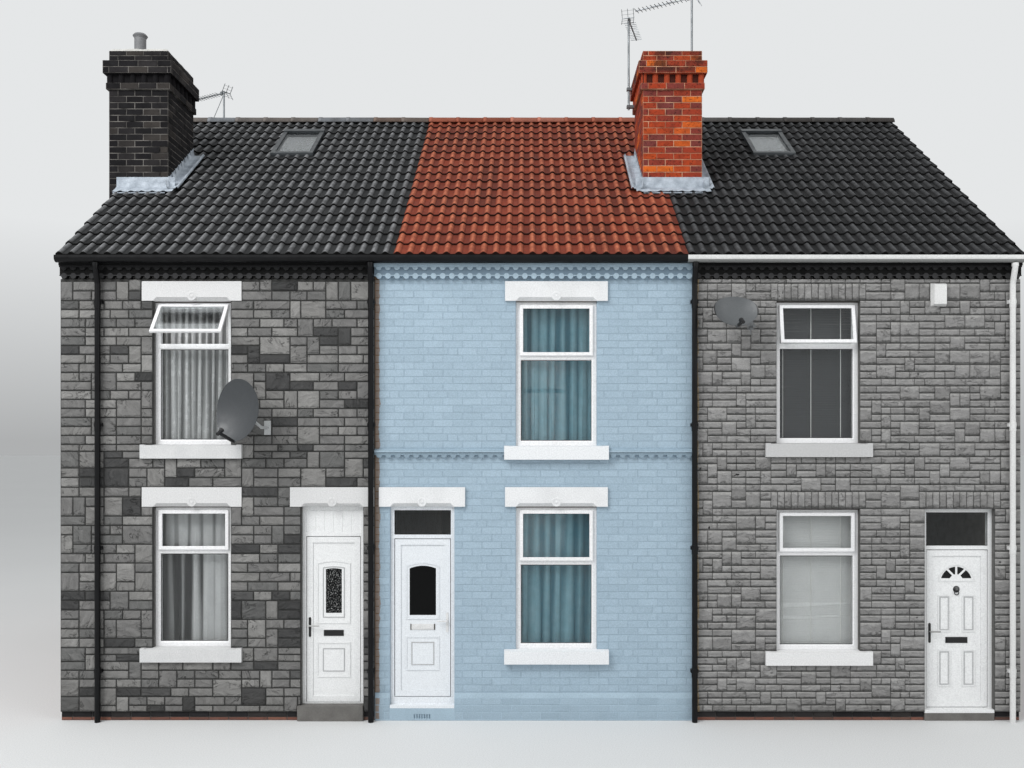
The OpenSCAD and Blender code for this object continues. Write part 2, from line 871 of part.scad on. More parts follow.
module stone_cladding_left() {
    color("darkgray")
        cladding(row_l, line_1, left_low, left_up, left_door, true);
}

module stone_cladding_right() {
    color("darkgray")
        cladding(line_2, row_r, right_low, right_up, right_door, false);
}

// Painted plinth of the middle house, with a slotted air brick under the door
plinth_out = 25;
plinth_top_z = 340;
plinth_top_out = 10;
plinth_slope_h = 60;
air_w = 215;
air_z = [24, 78];
air_slots = 7;
air_web = 6;
module air_brick() {
    pitch = air_w / air_slots;
    for (k = [0 : air_slots - 1]) {
        x = middle_door[0] - air_w / 2 + (k + 0.25) * pitch;
        block([x, x + pitch / 2], [wall_face_y - plinth_out - eps, wall_face_y - air_web], air_z);
    }
}
module plinth_middle() {
    color("lightsteelblue")
        difference() {
            along_row(line_1, line_2)
                polygon([[wall_face_y, 0], [wall_face_y, plinth_top_z],
                    [wall_face_y - plinth_top_out, plinth_top_z],
                    [wall_face_y - plinth_out, plinth_top_z - plinth_slope_h],
                    [wall_face_y - plinth_out, 0]]);
            block([left_of(middle_door), right_of(middle_door)],
                [wall_face_y - plinth_out - eps, wall_face_y + eps], [middle_door_z, plinth_top_z + eps]);
            air_brick();
        }
}

// A stone lintel with a stopped chamfer along its soffit and a round boss with a sunk ring
boss_out = 5;
ring_w = 12;
ring_in = 4;
module soffit_chamfer(o) {
    y = wall_face_y - lintel_out;
    hull() {
        along_row(left_of(o) + lintel_chamfer, right_of(o) - lintel_chamfer)
            polygon([[y - eps, o[3] - eps], [y - eps, o[3] + lintel_chamfer],
                [y + lintel_chamfer, o[3] - eps]]);
        along_row(left_of(o), right_of(o))
            polygon([[y - eps, o[3] - eps], [y - eps, o[3]], [y, o[3] - eps]]);
    }
}
module lintel(o) {
    difference() {
        block([left_of(o) - lintel_bearing, right_of(o) + lintel_bearing],
            [wall_face_y - lintel_out, wall_face_y + lintel_d], [o[3], o[3] + lintel_h]);
        soffit_chamfer(o);
    }
    translate([o[0], wall_face_y - lintel_out - boss_out, o[3] + boss_r])
        rotate([-90, 0, 0])
            rotate_extrude()
                polygon([[0, -ring_in], [boss_r - 3 * ring_w, 0], [boss_r - 3 * ring_w, ring_in],
                    [boss_r - 2 * ring_w, ring_in], [boss_r - 2 * ring_w, 0], [boss_r - ring_in, 0],
                    [boss_r, ring_in], [boss_r, lintel_chamfer + boss_out], [0, lintel_chamfer + boss_out]]);
}

module lintels() {
    color("white")
        for (o = [left_low, left_up, left_door, middle_low, middle_up, middle_door])
            lintel(o);
}

// A projecting window sill: weathered top between stooled ends, and a throat under its nose
sill_fall = 12;
stool_w = 60;
throat_w = 14;
module sill(o) {
    nose = wall_face_y - sill_out;
    difference() {
        block([left_of(o) - sill_past, right_of(o) + sill_past], [nose, wall_face_y + sill_d],
            [o[2] - sill_h, o[2]]);
        along_row(left_of(o) - sill_past + stool_w, right_of(o) + sill_past - stool_w)
            polygon([[wall_face_y - eps, o[2] + eps], [wall_face_y - eps, o[2]],
                [nose - eps, o[2] - sill_fall], [nose - eps, o[2] + eps]]);
        along_row(left_of(o) - sill_past - eps, right_of(o) + sill_past + eps)
            translate([nose + 2 * throat_w, o[2] - sill_h]) circle(d = throat_w, $fn = 16);
    }
}

module sills() {
    color("white") {
        for (o = windows) sill(o);
        for (o = windows)
            block([left_of(o), right_of(o)], [rear_face_y, rear_face_y + sill_out / 2],
                [o[2] - sill_h / 2, o[2]]);
    }
}

// A light's hole through a frame from y on, splayed towards the street so that it leaves a mitred bead
bead = 12;
module light_hole(x, y, z) {
    block(x, [y - eps, y + frame_t + eps], z);
    intersection() {
        along_row(x[0] - bead - eps, x[1] + bead + eps)
            polygon([[y - eps, z[0] - bead - eps], [y + bead, z[0]], [y + bead, z[1]],
                [y - eps, z[1] + bead + eps]]);
        translate([0, 0, z[0] - bead - eps])
            linear_extrude(z[1] - z[0] + 2 * bead + 2 * eps)
                polygon([[x[0] - bead - eps, y - eps], [x[0], y + bead], [x[1], y + bead],
                    [x[1] + bead + eps, y - eps]]);
    }
}
// A fixed window frame with a transom, its front face at y
module window_frame(o, y, vent_h) {
    x = [left_of(o) + frame_face, right_of(o) - frame_face];
    difference() {
        block([left_of(o), right_of(o)], [y, y + frame_t], [o[2], o[3]]);
        light_hole(x, y, [o[2] + frame_face, o[3] - frame_face - vent_h - transom_face]);
        light_hole(x, y, [o[3] - frame_face - vent_h, o[3] - frame_face]);
    }
}

// A top-hung sash in the upper light, swung out about its top edge
sash_t = 30;
sash_lap = 15;
function sash_w(o) = o[1] - 2 * frame_face + 2 * sash_lap;
module vent_sash(o, y, vent_h, angle) {
    w = sash_w(o);
    h = vent_h + 2 * sash_lap;
    translate([o[0], y, o[3] - frame_face + sash_lap])
        rotate([-angle, 0, 0])
            difference() {
                translate([-w / 2, -sash_t, -h]) cube([w, sash_t, h]);
                translate([-w / 2 + sash_face, -sash_t - eps, -h + sash_face])
                    cube([w - 2 * sash_face, sash_t + 2 * eps, h - 2 * sash_face]);
            }
}

module window_frames_front() {
    color("white")
        for (i = [0:5]) {
            y = wall_face_y + reveals[i];
            window_frame(windows[i], y, vents[i]);
            vent_sash(windows[i], y, vents[i], vent_angles[i]);
        }
}

module window_frames_back() {
    color("white")
        for (i = [0:5])
            window_frame(windows[i], rear_face_y - back_reveal - frame_t, vents[i]);
}

// Glass of every window: lower lights, closed vents and opened vents
module light_glass(o, y, vent_h, open) {
    x = [left_of(o) + frame_face, right_of(o) - frame_face];
    block(x, [y, y + glass_t], [o[2] + frame_face, o[3] - frame_face - vent_h - transom_face]);
    if (!open)
        block(x, [y, y + glass_t], [o[3] - frame_face - vent_h, o[3] - frame_face]);
}

glass_in = 20;
sash_glass_t = 18;
module sash_glass(i) {
    o = windows[i];
    w = sash_w(o) - 2 * sash_face;
    h = vents[i] + 2 * sash_lap - 2 * sash_face;
    translate([o[0], wall_face_y + reveals[i], o[3] - frame_face + sash_lap])
        rotate([-vent_angles[i], 0, 0])
            translate([-w / 2, -(sash_t + sash_glass_t) / 2, -h - sash_face]) cube([w, sash_glass_t, h]);
}
module window_glass() {
    back_y = rear_face_y - back_reveal - frame_t + glass_in;
    color("lightcyan", 0.4) {
        for (i = [0:5]) {
            light_glass(windows[i], wall_face_y + reveals[i] + glass_in, vents[i], vent_angles[i] > 0);
            light_glass(windows[i], back_y, vents[i], false);
        }
        for (o = [left_back_door, middle_back_door, right_back_door])
            back_door_glass(o, back_y, back_y + glass_t);
        roof_pane(window_left_x);
        roof_pane(window_right_x);
        for (i = [1, 2])
            over_light(i, wall_face_y + door_reveals[i] + glass_in,
                wall_face_y + door_reveals[i] + glass_in + glass_t);
        for (i = [1, 5]) sash_glass(i);
    }
}

// Door i of the row fills its frame less the jambs and the gap
leaf_back = 8;
board_in = 20;
function leaf_w(i) = doors[i][1] - 2 * jamb_face - 2 * leaf_gap;
function leaf_y(i) = wall_face_y + door_reveals[i] + leaf_back;
function leaf_z(i) = doors[i][2] + thresholds[i] + leaf_gap;
function door_head_z(i) = leaf_z(i) + leaf_heights[i] + leaf_gap;

// The light over door i, between its jambs
module over_light(i, y0, y1) {
    block([left_of(doors[i]) + jamb_face, right_of(doors[i]) - jamb_face], [y0, y1],
        [door_head_z(i) + jamb_face, doors[i][3] - jamb_face]);
}

// Frame of door i, with a light over the leaf or a boarded panel
module door_frame(i, boarded) {
    door = doors[i];
    y = wall_face_y + door_reveals[i];
    difference() {
        block([left_of(door), right_of(door)], [y, y + frame_t], [door[2], door[3]]);
        block([left_of(door) + jamb_face, right_of(door) - jamb_face], [y - eps, y + frame_t + eps],
            [door[2] + thresholds[i], door_head_z(i)]);
        over_light(i, y - eps, y + (boarded ? board_in : frame_t + eps));
        if (boarded) board_grooves(door, y + board_in);
    }
    if (thresholds[i] > cill_h)
        block([left_of(door), right_of(door)], [wall_face_y - cill_out, y], [door[2], door[2] + cill_h]);
}
// Grooves between the boards over a door
module board_grooves(door, y) {
    w = door[1] - 2 * jamb_face;
    for (k = [1 : boards - 1])
        translate([left_of(door) + jamb_face + k * w / boards, y, door[3] - lintel_h * 2])
            rotate([0, 0, 45])
                translate([-groove / 2, -groove / 2, 0]) cube([groove, groove, lintel_h * 2 - jamb_face]);
}
boards = 6;
groove = 7;
cill_h = 40;
cill_out = 26;

module door_frames() {
    color("white") {
        door_frame(0, true);
        door_frame(1, false);
        door_frame(2, false);
    }
}

// A back door: a sunk panel below and a hole for glass above, between stiles and rails
back_rail_h = 1000;
module back_door_glass(o, y0, y1) {
    block([left_of(o) + 2 * stile_w, right_of(o) - 2 * stile_w], [y0, y1],
        [o[2] + back_rail_h + stile_w, o[3] - 2 * stile_w]);
}
module back_doors() {
    y = rear_face_y - back_reveal;
    color("white")
        for (o = [left_back_door, middle_back_door, right_back_door])
            difference() {
                block([left_of(o), right_of(o)], [y - frame_t, y], [o[2], o[3]]);
                back_door_glass(o, y - frame_t - eps, y + eps);
                block([left_of(o) + 2 * stile_w, right_of(o) - 2 * stile_w], [y - panel_sunk, y + eps],
                    [o[2] + 2 * stile_w, o[2] + back_rail_h - stile_w]);
                block([left_of(o) + jamb_face, right_of(o) - jamb_face], [y - leaf_back, y + eps],
                    [o[2] + jamb_face, o[3] - jamb_face]);
            }
}

// Stone steps under the doors
step_out = 60;
step_past = 40;
module door_steps() {
    color("gray") {
        for (o = doors)
            block([left_of(o), right_of(o)], [wall_face_y, wall_back_y], [0, o[2]]);
        block([left_of(left_door) - step_past, right_of(left_door)],
            [wall_face_y - step_out, wall_face_y], [0, left_door_z]);
        block([left_of(right_door), right_of(right_door)],
            [wall_face_y - clad_t, wall_face_y], [0, right_door_z]);
        for (o = [left_back_door, middle_back_door, right_back_door])
            block([left_of(o), right_of(o)], [rear_face_y, rear_face_y + step_out], [0, o[2]]);
    }
}

// A roof window: a kerb in the slope, a sash on it with a hood along its top, and the pane
roof_rise = 35;
roof_sash_w = 62;
roof_pane_t = 20;
hood_w = 95;
hood_t = 14;
module roof_window(x) {
    w = roof_window_w;
    in_slope(x, roof_window_up) {
        difference() {
            translate([-w / 2, 0, -deck_t]) cube([w, roof_window_l, deck_t + roof_rise]);
            translate([-w / 2 + roof_sash_w, roof_sash_w, -deck_t - eps])
                cube([w - 2 * roof_sash_w, roof_window_l - roof_sash_w - hood_w, 2 * deck_t + roof_rise]);
        }
        translate([-w / 2, roof_window_l - hood_w, roof_rise]) cube([w, hood_w, hood_t]);
    }
}
module roof_pane(x) {
    in_slope(x, roof_window_up)
        translate([-roof_window_w / 2 + roof_sash_w, roof_sash_w, roof_rise / 2 - roof_pane_t])
            cube([roof_window_w - 2 * roof_sash_w, roof_window_l - roof_sash_w - hood_w, roof_pane_t]);
}

module roof_windows() {
    color("darkslategray") {
        roof_window(window_left_x);
        roof_window(window_right_x);
    }
}

// A dish: a shell cut from a hollow ball by an oval outline, with the feed on an arm from its foot
dish_t = 5;
dish_bend = 1.1;
feed_d = 58;
feed_neck_d = 42;
feed_l = 95;
feed_horn_l = 35;
feed_arm_w = 26;
function dish_sag(h, r) = r - sqrt(r * r - h * h / 4);
module dish_shell(w, h) {
    curve_r = dish_bend * h;
    intersection() {
        translate([0, -curve_r, 0])
            difference() {
                sphere(curve_r, $fn = 128);
                sphere(curve_r - dish_t, $fn = 128);
            }
        across_row(-curve_r / 2, 2 * dish_t)
            polygon([for (a = [0:10:350]) [w / 2 * cos(a), h / 2 * sin(a)]]);
    }
}
module feed_arm(h, reach, drop) {
    foot = [0, -dish_sag(h, dish_bend * h), -h / 2];
    end = [0, -reach, -drop * h];
    hull()
        for (p = [foot, end])
            translate(p) cube([feed_arm_w, feed_arm_w, feed_arm_w], center = true);
    translate(end)
        rotate([atan2(-end[2], reach) - 90, 0, 0])
            translate([0, 0, -feed_l / 3]) {
                cylinder(d = feed_neck_d, h = feed_l);
                translate([0, 0, feed_l - feed_horn_l])
                    cylinder(d1 = feed_neck_d, d2 = feed_d, h = feed_horn_l);
            }
}
// The clamp behind the shell and the rib from it down to the arm's foot
module dish_spine(h) {
    curve_r = dish_bend * h;
    foot_y = -dish_sag(h, curve_r);
    translate([-clamp_w / 2, -dish_t / 2, -clamp_w / 2]) cube([clamp_w, clamp_d + dish_t / 2, clamp_w]);
    difference() {
        translate([-feed_arm_w / 2, 0, 0])
            rotate([90, 0, 90])
                linear_extrude(feed_arm_w)
                    polygon([[foot_y, -h / 2], [foot_y + feed_arm_w, -h / 2], [2 * feed_arm_w, 0], [foot_y, 0]]);
        translate([0, -curve_r, 0]) sphere(curve_r - dish_t / 2, $fn = 128);
    }
}

// The dish's bracket: a wall plate at [x, z], a tube out from it and a tube across into the clamp
bracket_w = 80;
bracket_h = 170;
bracket_t = 12;
tube_d = 34;
clamp_d = 90;
clamp_w = 80;
left_dish_turn = -22;
left_dish_tilt = -6;
left_feed_drop = 0.4;
left_plate_share = [0.38, 0.26];
right_dish_turn = 4;
right_dish_tilt = -25;
right_feed_drop = 0.65;
right_feed_share = 0.7;
right_plate_share = [0.46, 0.34];
module dish_bracket(x, z, plate, out, face_y) {
    tube_y = face_y - out + clamp_d - tube_d;
    across = [x - plate[0], z - plate[1]];
    translate([plate[0] - bracket_w / 2, face_y - bracket_t, plate[1] - bracket_h / 2])
        cube([bracket_w, bracket_t, bracket_h]);
    translate([plate[0], face_y, plate[1]])
        rotate([90, 0, 0]) cylinder(d = tube_d, h = face_y - tube_y + tube_d / 2);
    translate([plate[0], tube_y, plate[1]])
        rotate([0, atan2(across[0], across[1]), 0]) cylinder(d = tube_d, h = norm(across));
}
module dish(x, z, w, h, turn, tilt, out, reach, drop, share) {
    face_y = wall_face_y - clad_t;
    translate([x, face_y - out, z])
        rotate([tilt, 0, turn]) {
            dish_shell(w, h);
            dish_spine(h);
            feed_arm(h, reach, drop);
        }
    dish_bracket(x, z, [x + w * share[0], z - h * share[1]], out, face_y);
}

module satellite_dishes() {
    color("gray") {
        dish(line_0 + left_dish_x, left_dish_z, left_dish_w, left_dish_h, left_dish_turn, left_dish_tilt,
            left_dish_out, feed_reach, left_feed_drop, left_plate_share);
        dish(line_2 + right_dish_x, right_dish_z, right_dish_w, right_dish_h, right_dish_turn,
            right_dish_tilt, right_dish_out, right_feed_share * feed_reach, right_feed_drop,
            right_plate_share);
    }
}

// A television aerial pointing along -X: a boom, cross rods, a box on the dipole and a forked reflector
boom_d = 16;
boom_tail = 70;
rod_d = 7;
rod_l = 170;
rod_step = 62;
reflector_h = 260;
reflector_turn = 30;
module bar(x, y, z) {
    cube([x, y, z], center = true);
}
module reflector_leaf() {
    for (y = [-rod_l / 2, 0, rod_l / 2])
        translate([0, y, reflector_h / 4]) bar(rod_d, rod_d, reflector_h / 2);
    for (z = [0.4, 0.8])
        translate([0, 0, z * reflector_h / 2]) bar(rod_d / 2, rod_l + 3 * rod_d, rod_d / 2);
}
module aerial_head(boom) {
    translate([(boom_tail - boom) / 2, 0, 0]) bar(boom + boom_tail, boom_d, boom_d);
    for (i = [0 : floor((boom - 2 * rod_step) / rod_step)])
        translate([-boom + boom_d + i * rod_step, 0, 0]) bar(rod_d, rod_l, rod_d);
    translate([-3 * boom_d, 0, boom_d / 4]) bar(3 * boom_d, 2.5 * boom_d, 3 * boom_d);
    translate([boom_tail - boom_d, 0, 0]) {
        bar(1.5 * rod_d, rod_l + 2 * rod_d, 1.5 * rod_d);
        for (s = [-1, 1])
            rotate([0, 90 - s * (90 - reflector_turn), 0]) reflector_leaf();
    }
}
module aerial(x, y, z0, z1, boom, turn) {
    translate([x, y, z0]) cylinder(d = mast_d, h = z1 - z0, $fn = 24);
    translate([x, y, z1 - 2 * boom_d]) rotate([0, 0, turn]) aerial_head(boom);
}

// Masts: one on the right stack, one clamped to its side and one on a foot behind the ridge
mast_off = 35;
clamp_h = 40;
foot_t = 30;
foot_w = 160;
stay_d = 12;
stay_reach = 330;
tall_mast_in = [320, 300];
side_mast_in = 200;
ridge_mast_at = [470, 350];
boom_turn = -30;
side_boom_turn = -105;
module foot(x, y) {
    translate([x, y, top_z(y) + 2 * bed])
        rotate([-roof_pitch, 0, 0])
            translate([-foot_w / 2, -foot_w / 2, 0]) cube([foot_w, foot_w, foot_t]);
}
// The stay leans from its foot up to the mast, in the mast's plane
module stay(x, y, z1) {
    z0 = top_z(y) + foot_t;
    translate([x - stay_reach, y, z0])
        rotate([0, atan(stay_reach / (z1 - z0)), 0])
            cylinder(d = stay_d, h = norm([stay_reach, z1 - z0]), $fn = 12);
}
module aerials() {
    side_x = right_stack_x - stack_w / 2 - 2 * corbel_step - mast_off - mast_d / 2;
    side_y = stack_back_y - side_mast_in;
    foot_x = line_0 + ridge_mast_at[0];
    foot_y = ridge_mast_at[1];
    color("darkgray") {
        aerial(right_stack_x + tall_mast_in[0], stack_front_y + tall_mast_in[1], stack_top_z,
            stack_top_z + tall_mast_h, tall_boom_l, boom_turn);
        aerial(side_x, side_y, shaft_top_z, stack_top_z + side_mast_h, side_boom_l, side_boom_turn);
        for (c = [[shaft_top_z + course_h / 2, corbel_step], [cap_z + course_h, 2 * corbel_step]])
            block([side_x - mast_d, right_stack_x - stack_w / 2 - c[1]], [side_y - mast_d, side_y + mast_d],
                [c[0] - clamp_h / 2, c[0] + clamp_h / 2]);
        aerial(foot_x, foot_y, top_z(foot_y - mast_d / 2) + eps, ridge_z + ridge_mast_h,
            ridge_boom_l, boom_turn);
        foot(foot_x, foot_y);
        foot(foot_x - stay_reach, foot_y);
        stay(foot_x, foot_y, ridge_z + ridge_mast_h - 3 * boom_d);
    }
}

// An alarm's bell box: a bevelled cover on a back plate
alarm_off = 1465;
alarm_w = 190;
alarm_h = 282;
alarm_d = 80;
alarm_plate = 10;
module alarm_box() {
    color("white")
        translate([right_x + alarm_off, wall_face_y - clad_t, upper_head_z + alarm_h / 4])
            rotate([90, 0, 0]) {
                translate([0, 0, alarm_plate / 2]) cube([alarm_w, alarm_h, alarm_plate], center = true);
                translate([0, 0, alarm_plate])
                    leaning_block(alarm_w, alarm_h, alarm_d - alarm_plate, 2 * alarm_plate);
            }
}

// Curtains and blinds hang just behind the glass
drape_gap = 60;
drape_in = 10;
curtain_t = 50;
blind_t = 30;
module drape(o, reveal, t) {
    y = wall_face_y + reveal + frame_t + drape_gap;
    block([left_of(o) + drape_in, right_of(o) - drape_in], [y, y + t],
        [o[2] + drape_in / 2, o[3] - 2 * drape_in]);
}

module curtains() {
    color("cadetblue") {
        drape(left_low, left_reveal, curtain_t);
        drape(left_up, left_reveal, curtain_t);
        drape(middle_low, middle_reveal, curtain_t);
        drape(middle_up, middle_reveal, curtain_t);
    }
}

module blinds() {
    color("lightgray") {
        drape(right_low, right_reveal, blind_t);
        drape(right_up, right_reveal, blind_t);
    }
}

// An arched outline [half width, bottom, top, rise of the arch, offset along the row], from the leaf's foot
module arched(a) {
    translate([a[4], 0])
        if (a[3] == 0)
            translate([-a[0], a[1]]) square([2 * a[0], a[2] - a[1]]);
        else
            intersection() {
                translate([0, a[2] - arch_r(a)]) circle(arch_r(a), $fn = 144);
                translate([-a[0], a[1]]) square([2 * a[0], a[2] - a[1]]);
            }
}
function arch_r(a) = (a[0] * a[0] + a[3] * a[3]) / (2 * a[3]);
// The same outline drawn in by d all round, its arch about the same centre
function drawn_in(a, d) =
    [a[0] - d, a[1] + d, a[2] - d, a[3] == 0 ? 0 : inner_rise(arch_r(a) - d, a[0] - d), a[4]];
function inner_rise(r, half) = r - sqrt(r * r - half * half);

// Glass of each leaf, and its mouldings with how far in their second ring lies
left_glass = [99, 1093, 1645, 12, 0];
middle_glass = [163, 996, 1605, 33, 0];
fan = [188, 1581, 1724, 143, 0];
fan_hub = [76, 1581, 1631, 50, 0];
fan_bar = 24;
left_mouldings = [[[210, 960, 1743, 32, 0], 74], [[210, 296, 734, 0, 0], 74]];
middle_mouldings = [[[210, 942, 1648, 40, 0], 0], [[210, 312, 735, 0, 0], 68]];
panel_x = 150;
panel_half = 84;
upper_panel = [916, 1382];
lower_panel = [244, 706];
right_mouldings = [[[227, 1539, 1758, 170, 0], 0],
    for (x = [-panel_x, panel_x], z = [upper_panel, lower_panel]) [[panel_half, z[0], z[1], 0, x], 26]];

// Four panes of the fan between its hub and three bars
module fan_panes() {
    difference() {
        arched(fan);
        arched(fan_hub);
        translate([0, fan[1]])
            for (a = [-45, 0, 45])
                rotate(a) translate([-fan_bar / 2, 0]) square([fan_bar, 2 * fan[0]]);
    }
}
module glass_outline(i) {
    if (i == 0) arched(left_glass);
    if (i == 1) arched(middle_glass);
    if (i == 2) fan_panes();
}

// A stepped moulding along an outline, standing on the sunk panel at y
step_t = 4;
inner_share = 0.7;
module moulding_ring(a, w, t, y) {
    across_row(y - t, y)
        difference() {
            arched(a);
            arched(drawn_in(a, w));
        }
    across_row(y - t - step_t, y)
        difference() {
            arched(drawn_in(a, w / 4));
            arched(drawn_in(a, 3 * w / 4));
        }
}
module mouldings(list, y) {
    for (m = list) {
        moulding_ring(m[0], moulding_w, step_t, y);
        if (m[1] > 0) moulding_ring(drawn_in(m[0], m[1]), moulding_w * inner_share, step_t / 2, y);
    }
}

// Hinge knuckles behind the leaf's edge, each on a plate: side is 1 where they are on the right
knuckle_r = 7;
knuckle_h = 100;
plate_w = 42;
plate_t = 3;
hinge_in = 6;
hinge_shares = [0.12, 0.5, 0.88];
module hinges(i, side) {
    x = doors[i][0] + side * (leaf_w(i) / 2 - hinge_in);
    y = leaf_y(i) + leaf_t;
    for (f = hinge_shares) {
        z = leaf_z(i) + f * leaf_heights[i] - knuckle_h / 2;
        translate([x, y + knuckle_r, z]) cylinder(r = knuckle_r, h = knuckle_h);
        block([min(x, x - side * plate_w), max(x, x - side * plate_w)], [y, y + plate_t],
            [z, z + knuckle_h]);
    }
}

// Leaf of door i: stiles and rails round a sunk panel with mouldings, and the hole for its glass
module door_leaf(i, list, side) {
    y = leaf_y(i);
    x = doors[i][0];
    half = leaf_w(i) / 2;
    panel = [half - stile_w, stile_w, leaf_heights[i] - stile_w, 0, 0];
    difference() {
        union() {
            difference() {
                block([x - half, x + half], [y, y + leaf_t], [leaf_z(i), leaf_z(i) + leaf_heights[i]]);
                translate([x, 0, leaf_z(i)]) {
                    across_row(y - eps, y + panel_sunk) arched(panel);
                    across_row(y + leaf_t - panel_sunk, y + leaf_t + eps) arched(panel);
                }
            }
            translate([x, 0, leaf_z(i)]) mouldings(list, y + panel_sunk);
        }
        translate([x, 0, leaf_z(i)])
            across_row(y - eps, y + leaf_t + eps) glass_outline(i);
    }
    hinges(i, side);
}
module door_glass(i) {
    y = leaf_y(i) + (leaf_t - glass_t) / 2;
    translate([doors[i][0], 0, leaf_z(i)])
        across_row(y, y + glass_t) glass_outline(i);
}

// A lever on its rounded plate: y is the leaf's face and way is -1 on the street side
lever_l = 115;
lever_d = 18;
lever_out = 42;
rose_w = 28;
rose_up = 88;
rose_down = 128;
rose_t = 8;
module lever(x, y, z, side, way) {
    translate([x, y, z])
        scale([1, way, 1]) {
            rotate([-90, 0, 0]) cylinder(d = lever_d, h = lever_out);
            for (e = [-rose_down, rose_up])
                translate([0, 0, e]) rotate([-90, 0, 0]) cylinder(d = rose_w, h = rose_t);
            translate([-rose_w / 2, 0, -rose_down]) cube([rose_w, rose_t, rose_up + rose_down]);
            translate([0, lever_out, 0]) {
                rotate([0, -90 * side, 0]) cylinder(d = lever_d, h = lever_l);
                sphere(d = lever_d);
                translate([-side * lever_l, 0, 0]) sphere(d = lever_d);
            }
        }
}
// A letter plate on the sunk panel, with its flap
letter_h = 73;
letter_t = 6;
module letter_plate(x, y, z, w) {
    block([x - w / 2, x + w / 2], [y - letter_t, y], [z - letter_h / 2, z + letter_h / 2]);
    block([x - w / 2 + letter_t * 2, x + w / 2 - letter_t * 2], [y - 2 * letter_t, y],
        [z - letter_h / 2 + 2 * letter_t, z + letter_h / 2 - 2 * letter_t]);
}
// Levers on both faces and a letter plate: side is -1 where the handle is on the left
handle_z = [1150, 1210, 1080];
letter_z = [1055, 1133, 970];
letter_w = [245, 305, 270];
module door_furniture(i, side) {
    x = doors[i][0];
    handle_x = x + side * (leaf_w(i) / 2 - stile_w / 2);
    lever(handle_x, leaf_y(i), handle_z[i], side, -1);
    lever(handle_x, leaf_y(i) + leaf_t, handle_z[i], side, 1);
    letter_plate(x, leaf_y(i) + panel_sunk, letter_z[i], letter_w[i]);
}
// A ring knocker hanging from an oval rose
knocker_z = 1595;
knocker_r = 42;
ring_r = 26;
ring_d = 10;
module knocker(x, y) {
    translate([x, y, knocker_z])
        rotate([90, 0, 0]) cylinder(r1 = knocker_r, r2 = knocker_r / 2, h = 2 * ring_d);
    translate([x, y - 1.2 * ring_d, knocker_z - knocker_r])
        rotate([90, 0, 0]) rotate_extrude() translate([ring_r, 0]) circle(d = ring_d, $fn = 16);
}

module door_leaf_left() {
    color("white") door_leaf(0, left_mouldings, 1);
}
module door_glass_left() {
    color("dimgray") door_glass(0);
}
module door_furniture_left() {
    color("black") door_furniture(0, -1);
}

module door_leaf_middle() {
    color("white") door_leaf(1, middle_mouldings, -1);
}
module door_glass_middle() {
    color("black") door_glass(1);
}
module door_furniture_middle() {
    color("black") door_furniture(1, 1);
}

module door_leaf_right() {
    color("white") door_leaf(2, right_mouldings, 1);
}
module door_glass_right() {
    color("dimgray") door_glass(2);
}
module door_furniture_right() {
    color("black") {
        door_furniture(2, -1);
        knocker(doors[2][0], leaf_y(2) + panel_sunk);
    }
}

front_wall_left();
front_wall_middle();
front_wall_right();
door_piers();
walls_over_doors();
back_wall_left();
back_wall_middle();
back_wall_right();
party_walls();
chimney_breast();
ground_floors();
upper_floors();
ceilings();
eaves_timbers();
roof_front_left();
roof_front_middle();
roof_front_right();
roof_back();
ridge_tiles();
chimney_stack_left();
chimney_stack_right();
lead_flashings();
flue_and_flaunching();
fascia_boards();
gutters_black();
gutter_white();
downpipes_black();
downpipe_white();
eaves_band_left();
eaves_band_middle();
eaves_band_right();
string_course();
stone_cladding_left();
stone_cladding_right();
plinth_middle();
lintels();
sills();
window_frames_front();
window_frames_back();
window_glass();
door_frames();
back_doors();
door_steps();
roof_windows();
satellite_dishes();
aerials();
alarm_box();
curtains();
blinds();
door_leaf_left();
door_glass_left();
door_furniture_left();
door_leaf_middle();
door_glass_middle();
door_furniture_middle();
door_leaf_right();
door_glass_right();
door_furniture_right();
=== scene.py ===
"""Looks of a row of three terraced houses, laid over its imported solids.

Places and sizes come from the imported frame: openings, walls, roof slopes and stacks are read from
its nodes, and bricks, stones, tiles, cloth and finishes are laid on them here.
"""
from __future__ import annotations

import logging
import math
import random
from contextlib import contextmanager
from dataclasses import dataclass, field
from enum import Enum
from itertools import pairwise
from typing import Callable, Iterable, Iterator, Optional, Sequence, Union

import bmesh
import bpy
from mathutils import Matrix, Vector, noise

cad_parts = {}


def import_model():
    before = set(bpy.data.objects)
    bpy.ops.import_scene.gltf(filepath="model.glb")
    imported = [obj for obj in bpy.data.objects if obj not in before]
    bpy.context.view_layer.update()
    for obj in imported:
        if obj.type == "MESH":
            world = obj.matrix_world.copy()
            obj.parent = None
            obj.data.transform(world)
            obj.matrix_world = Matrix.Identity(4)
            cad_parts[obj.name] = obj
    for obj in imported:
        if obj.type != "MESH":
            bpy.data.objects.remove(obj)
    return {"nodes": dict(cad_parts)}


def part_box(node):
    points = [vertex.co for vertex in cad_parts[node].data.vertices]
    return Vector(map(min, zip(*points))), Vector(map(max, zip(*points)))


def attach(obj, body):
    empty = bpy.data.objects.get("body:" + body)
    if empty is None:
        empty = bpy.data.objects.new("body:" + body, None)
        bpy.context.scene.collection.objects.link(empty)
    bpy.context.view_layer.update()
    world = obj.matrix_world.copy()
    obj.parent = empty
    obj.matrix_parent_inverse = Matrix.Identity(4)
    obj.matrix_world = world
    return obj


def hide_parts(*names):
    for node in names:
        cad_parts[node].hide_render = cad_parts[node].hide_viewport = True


LOG = logging.getLogger("terrace")
ROOT = "root"
QUARTER = math.pi / 2

Point = tuple[float, float, float]
Rect = tuple[float, float, float, float]
Span = tuple[float, float]
Faces = list[tuple[int, ...]]
Value = Union["Wire", float, int, bool, str, Sequence[float], bpy.types.ID]


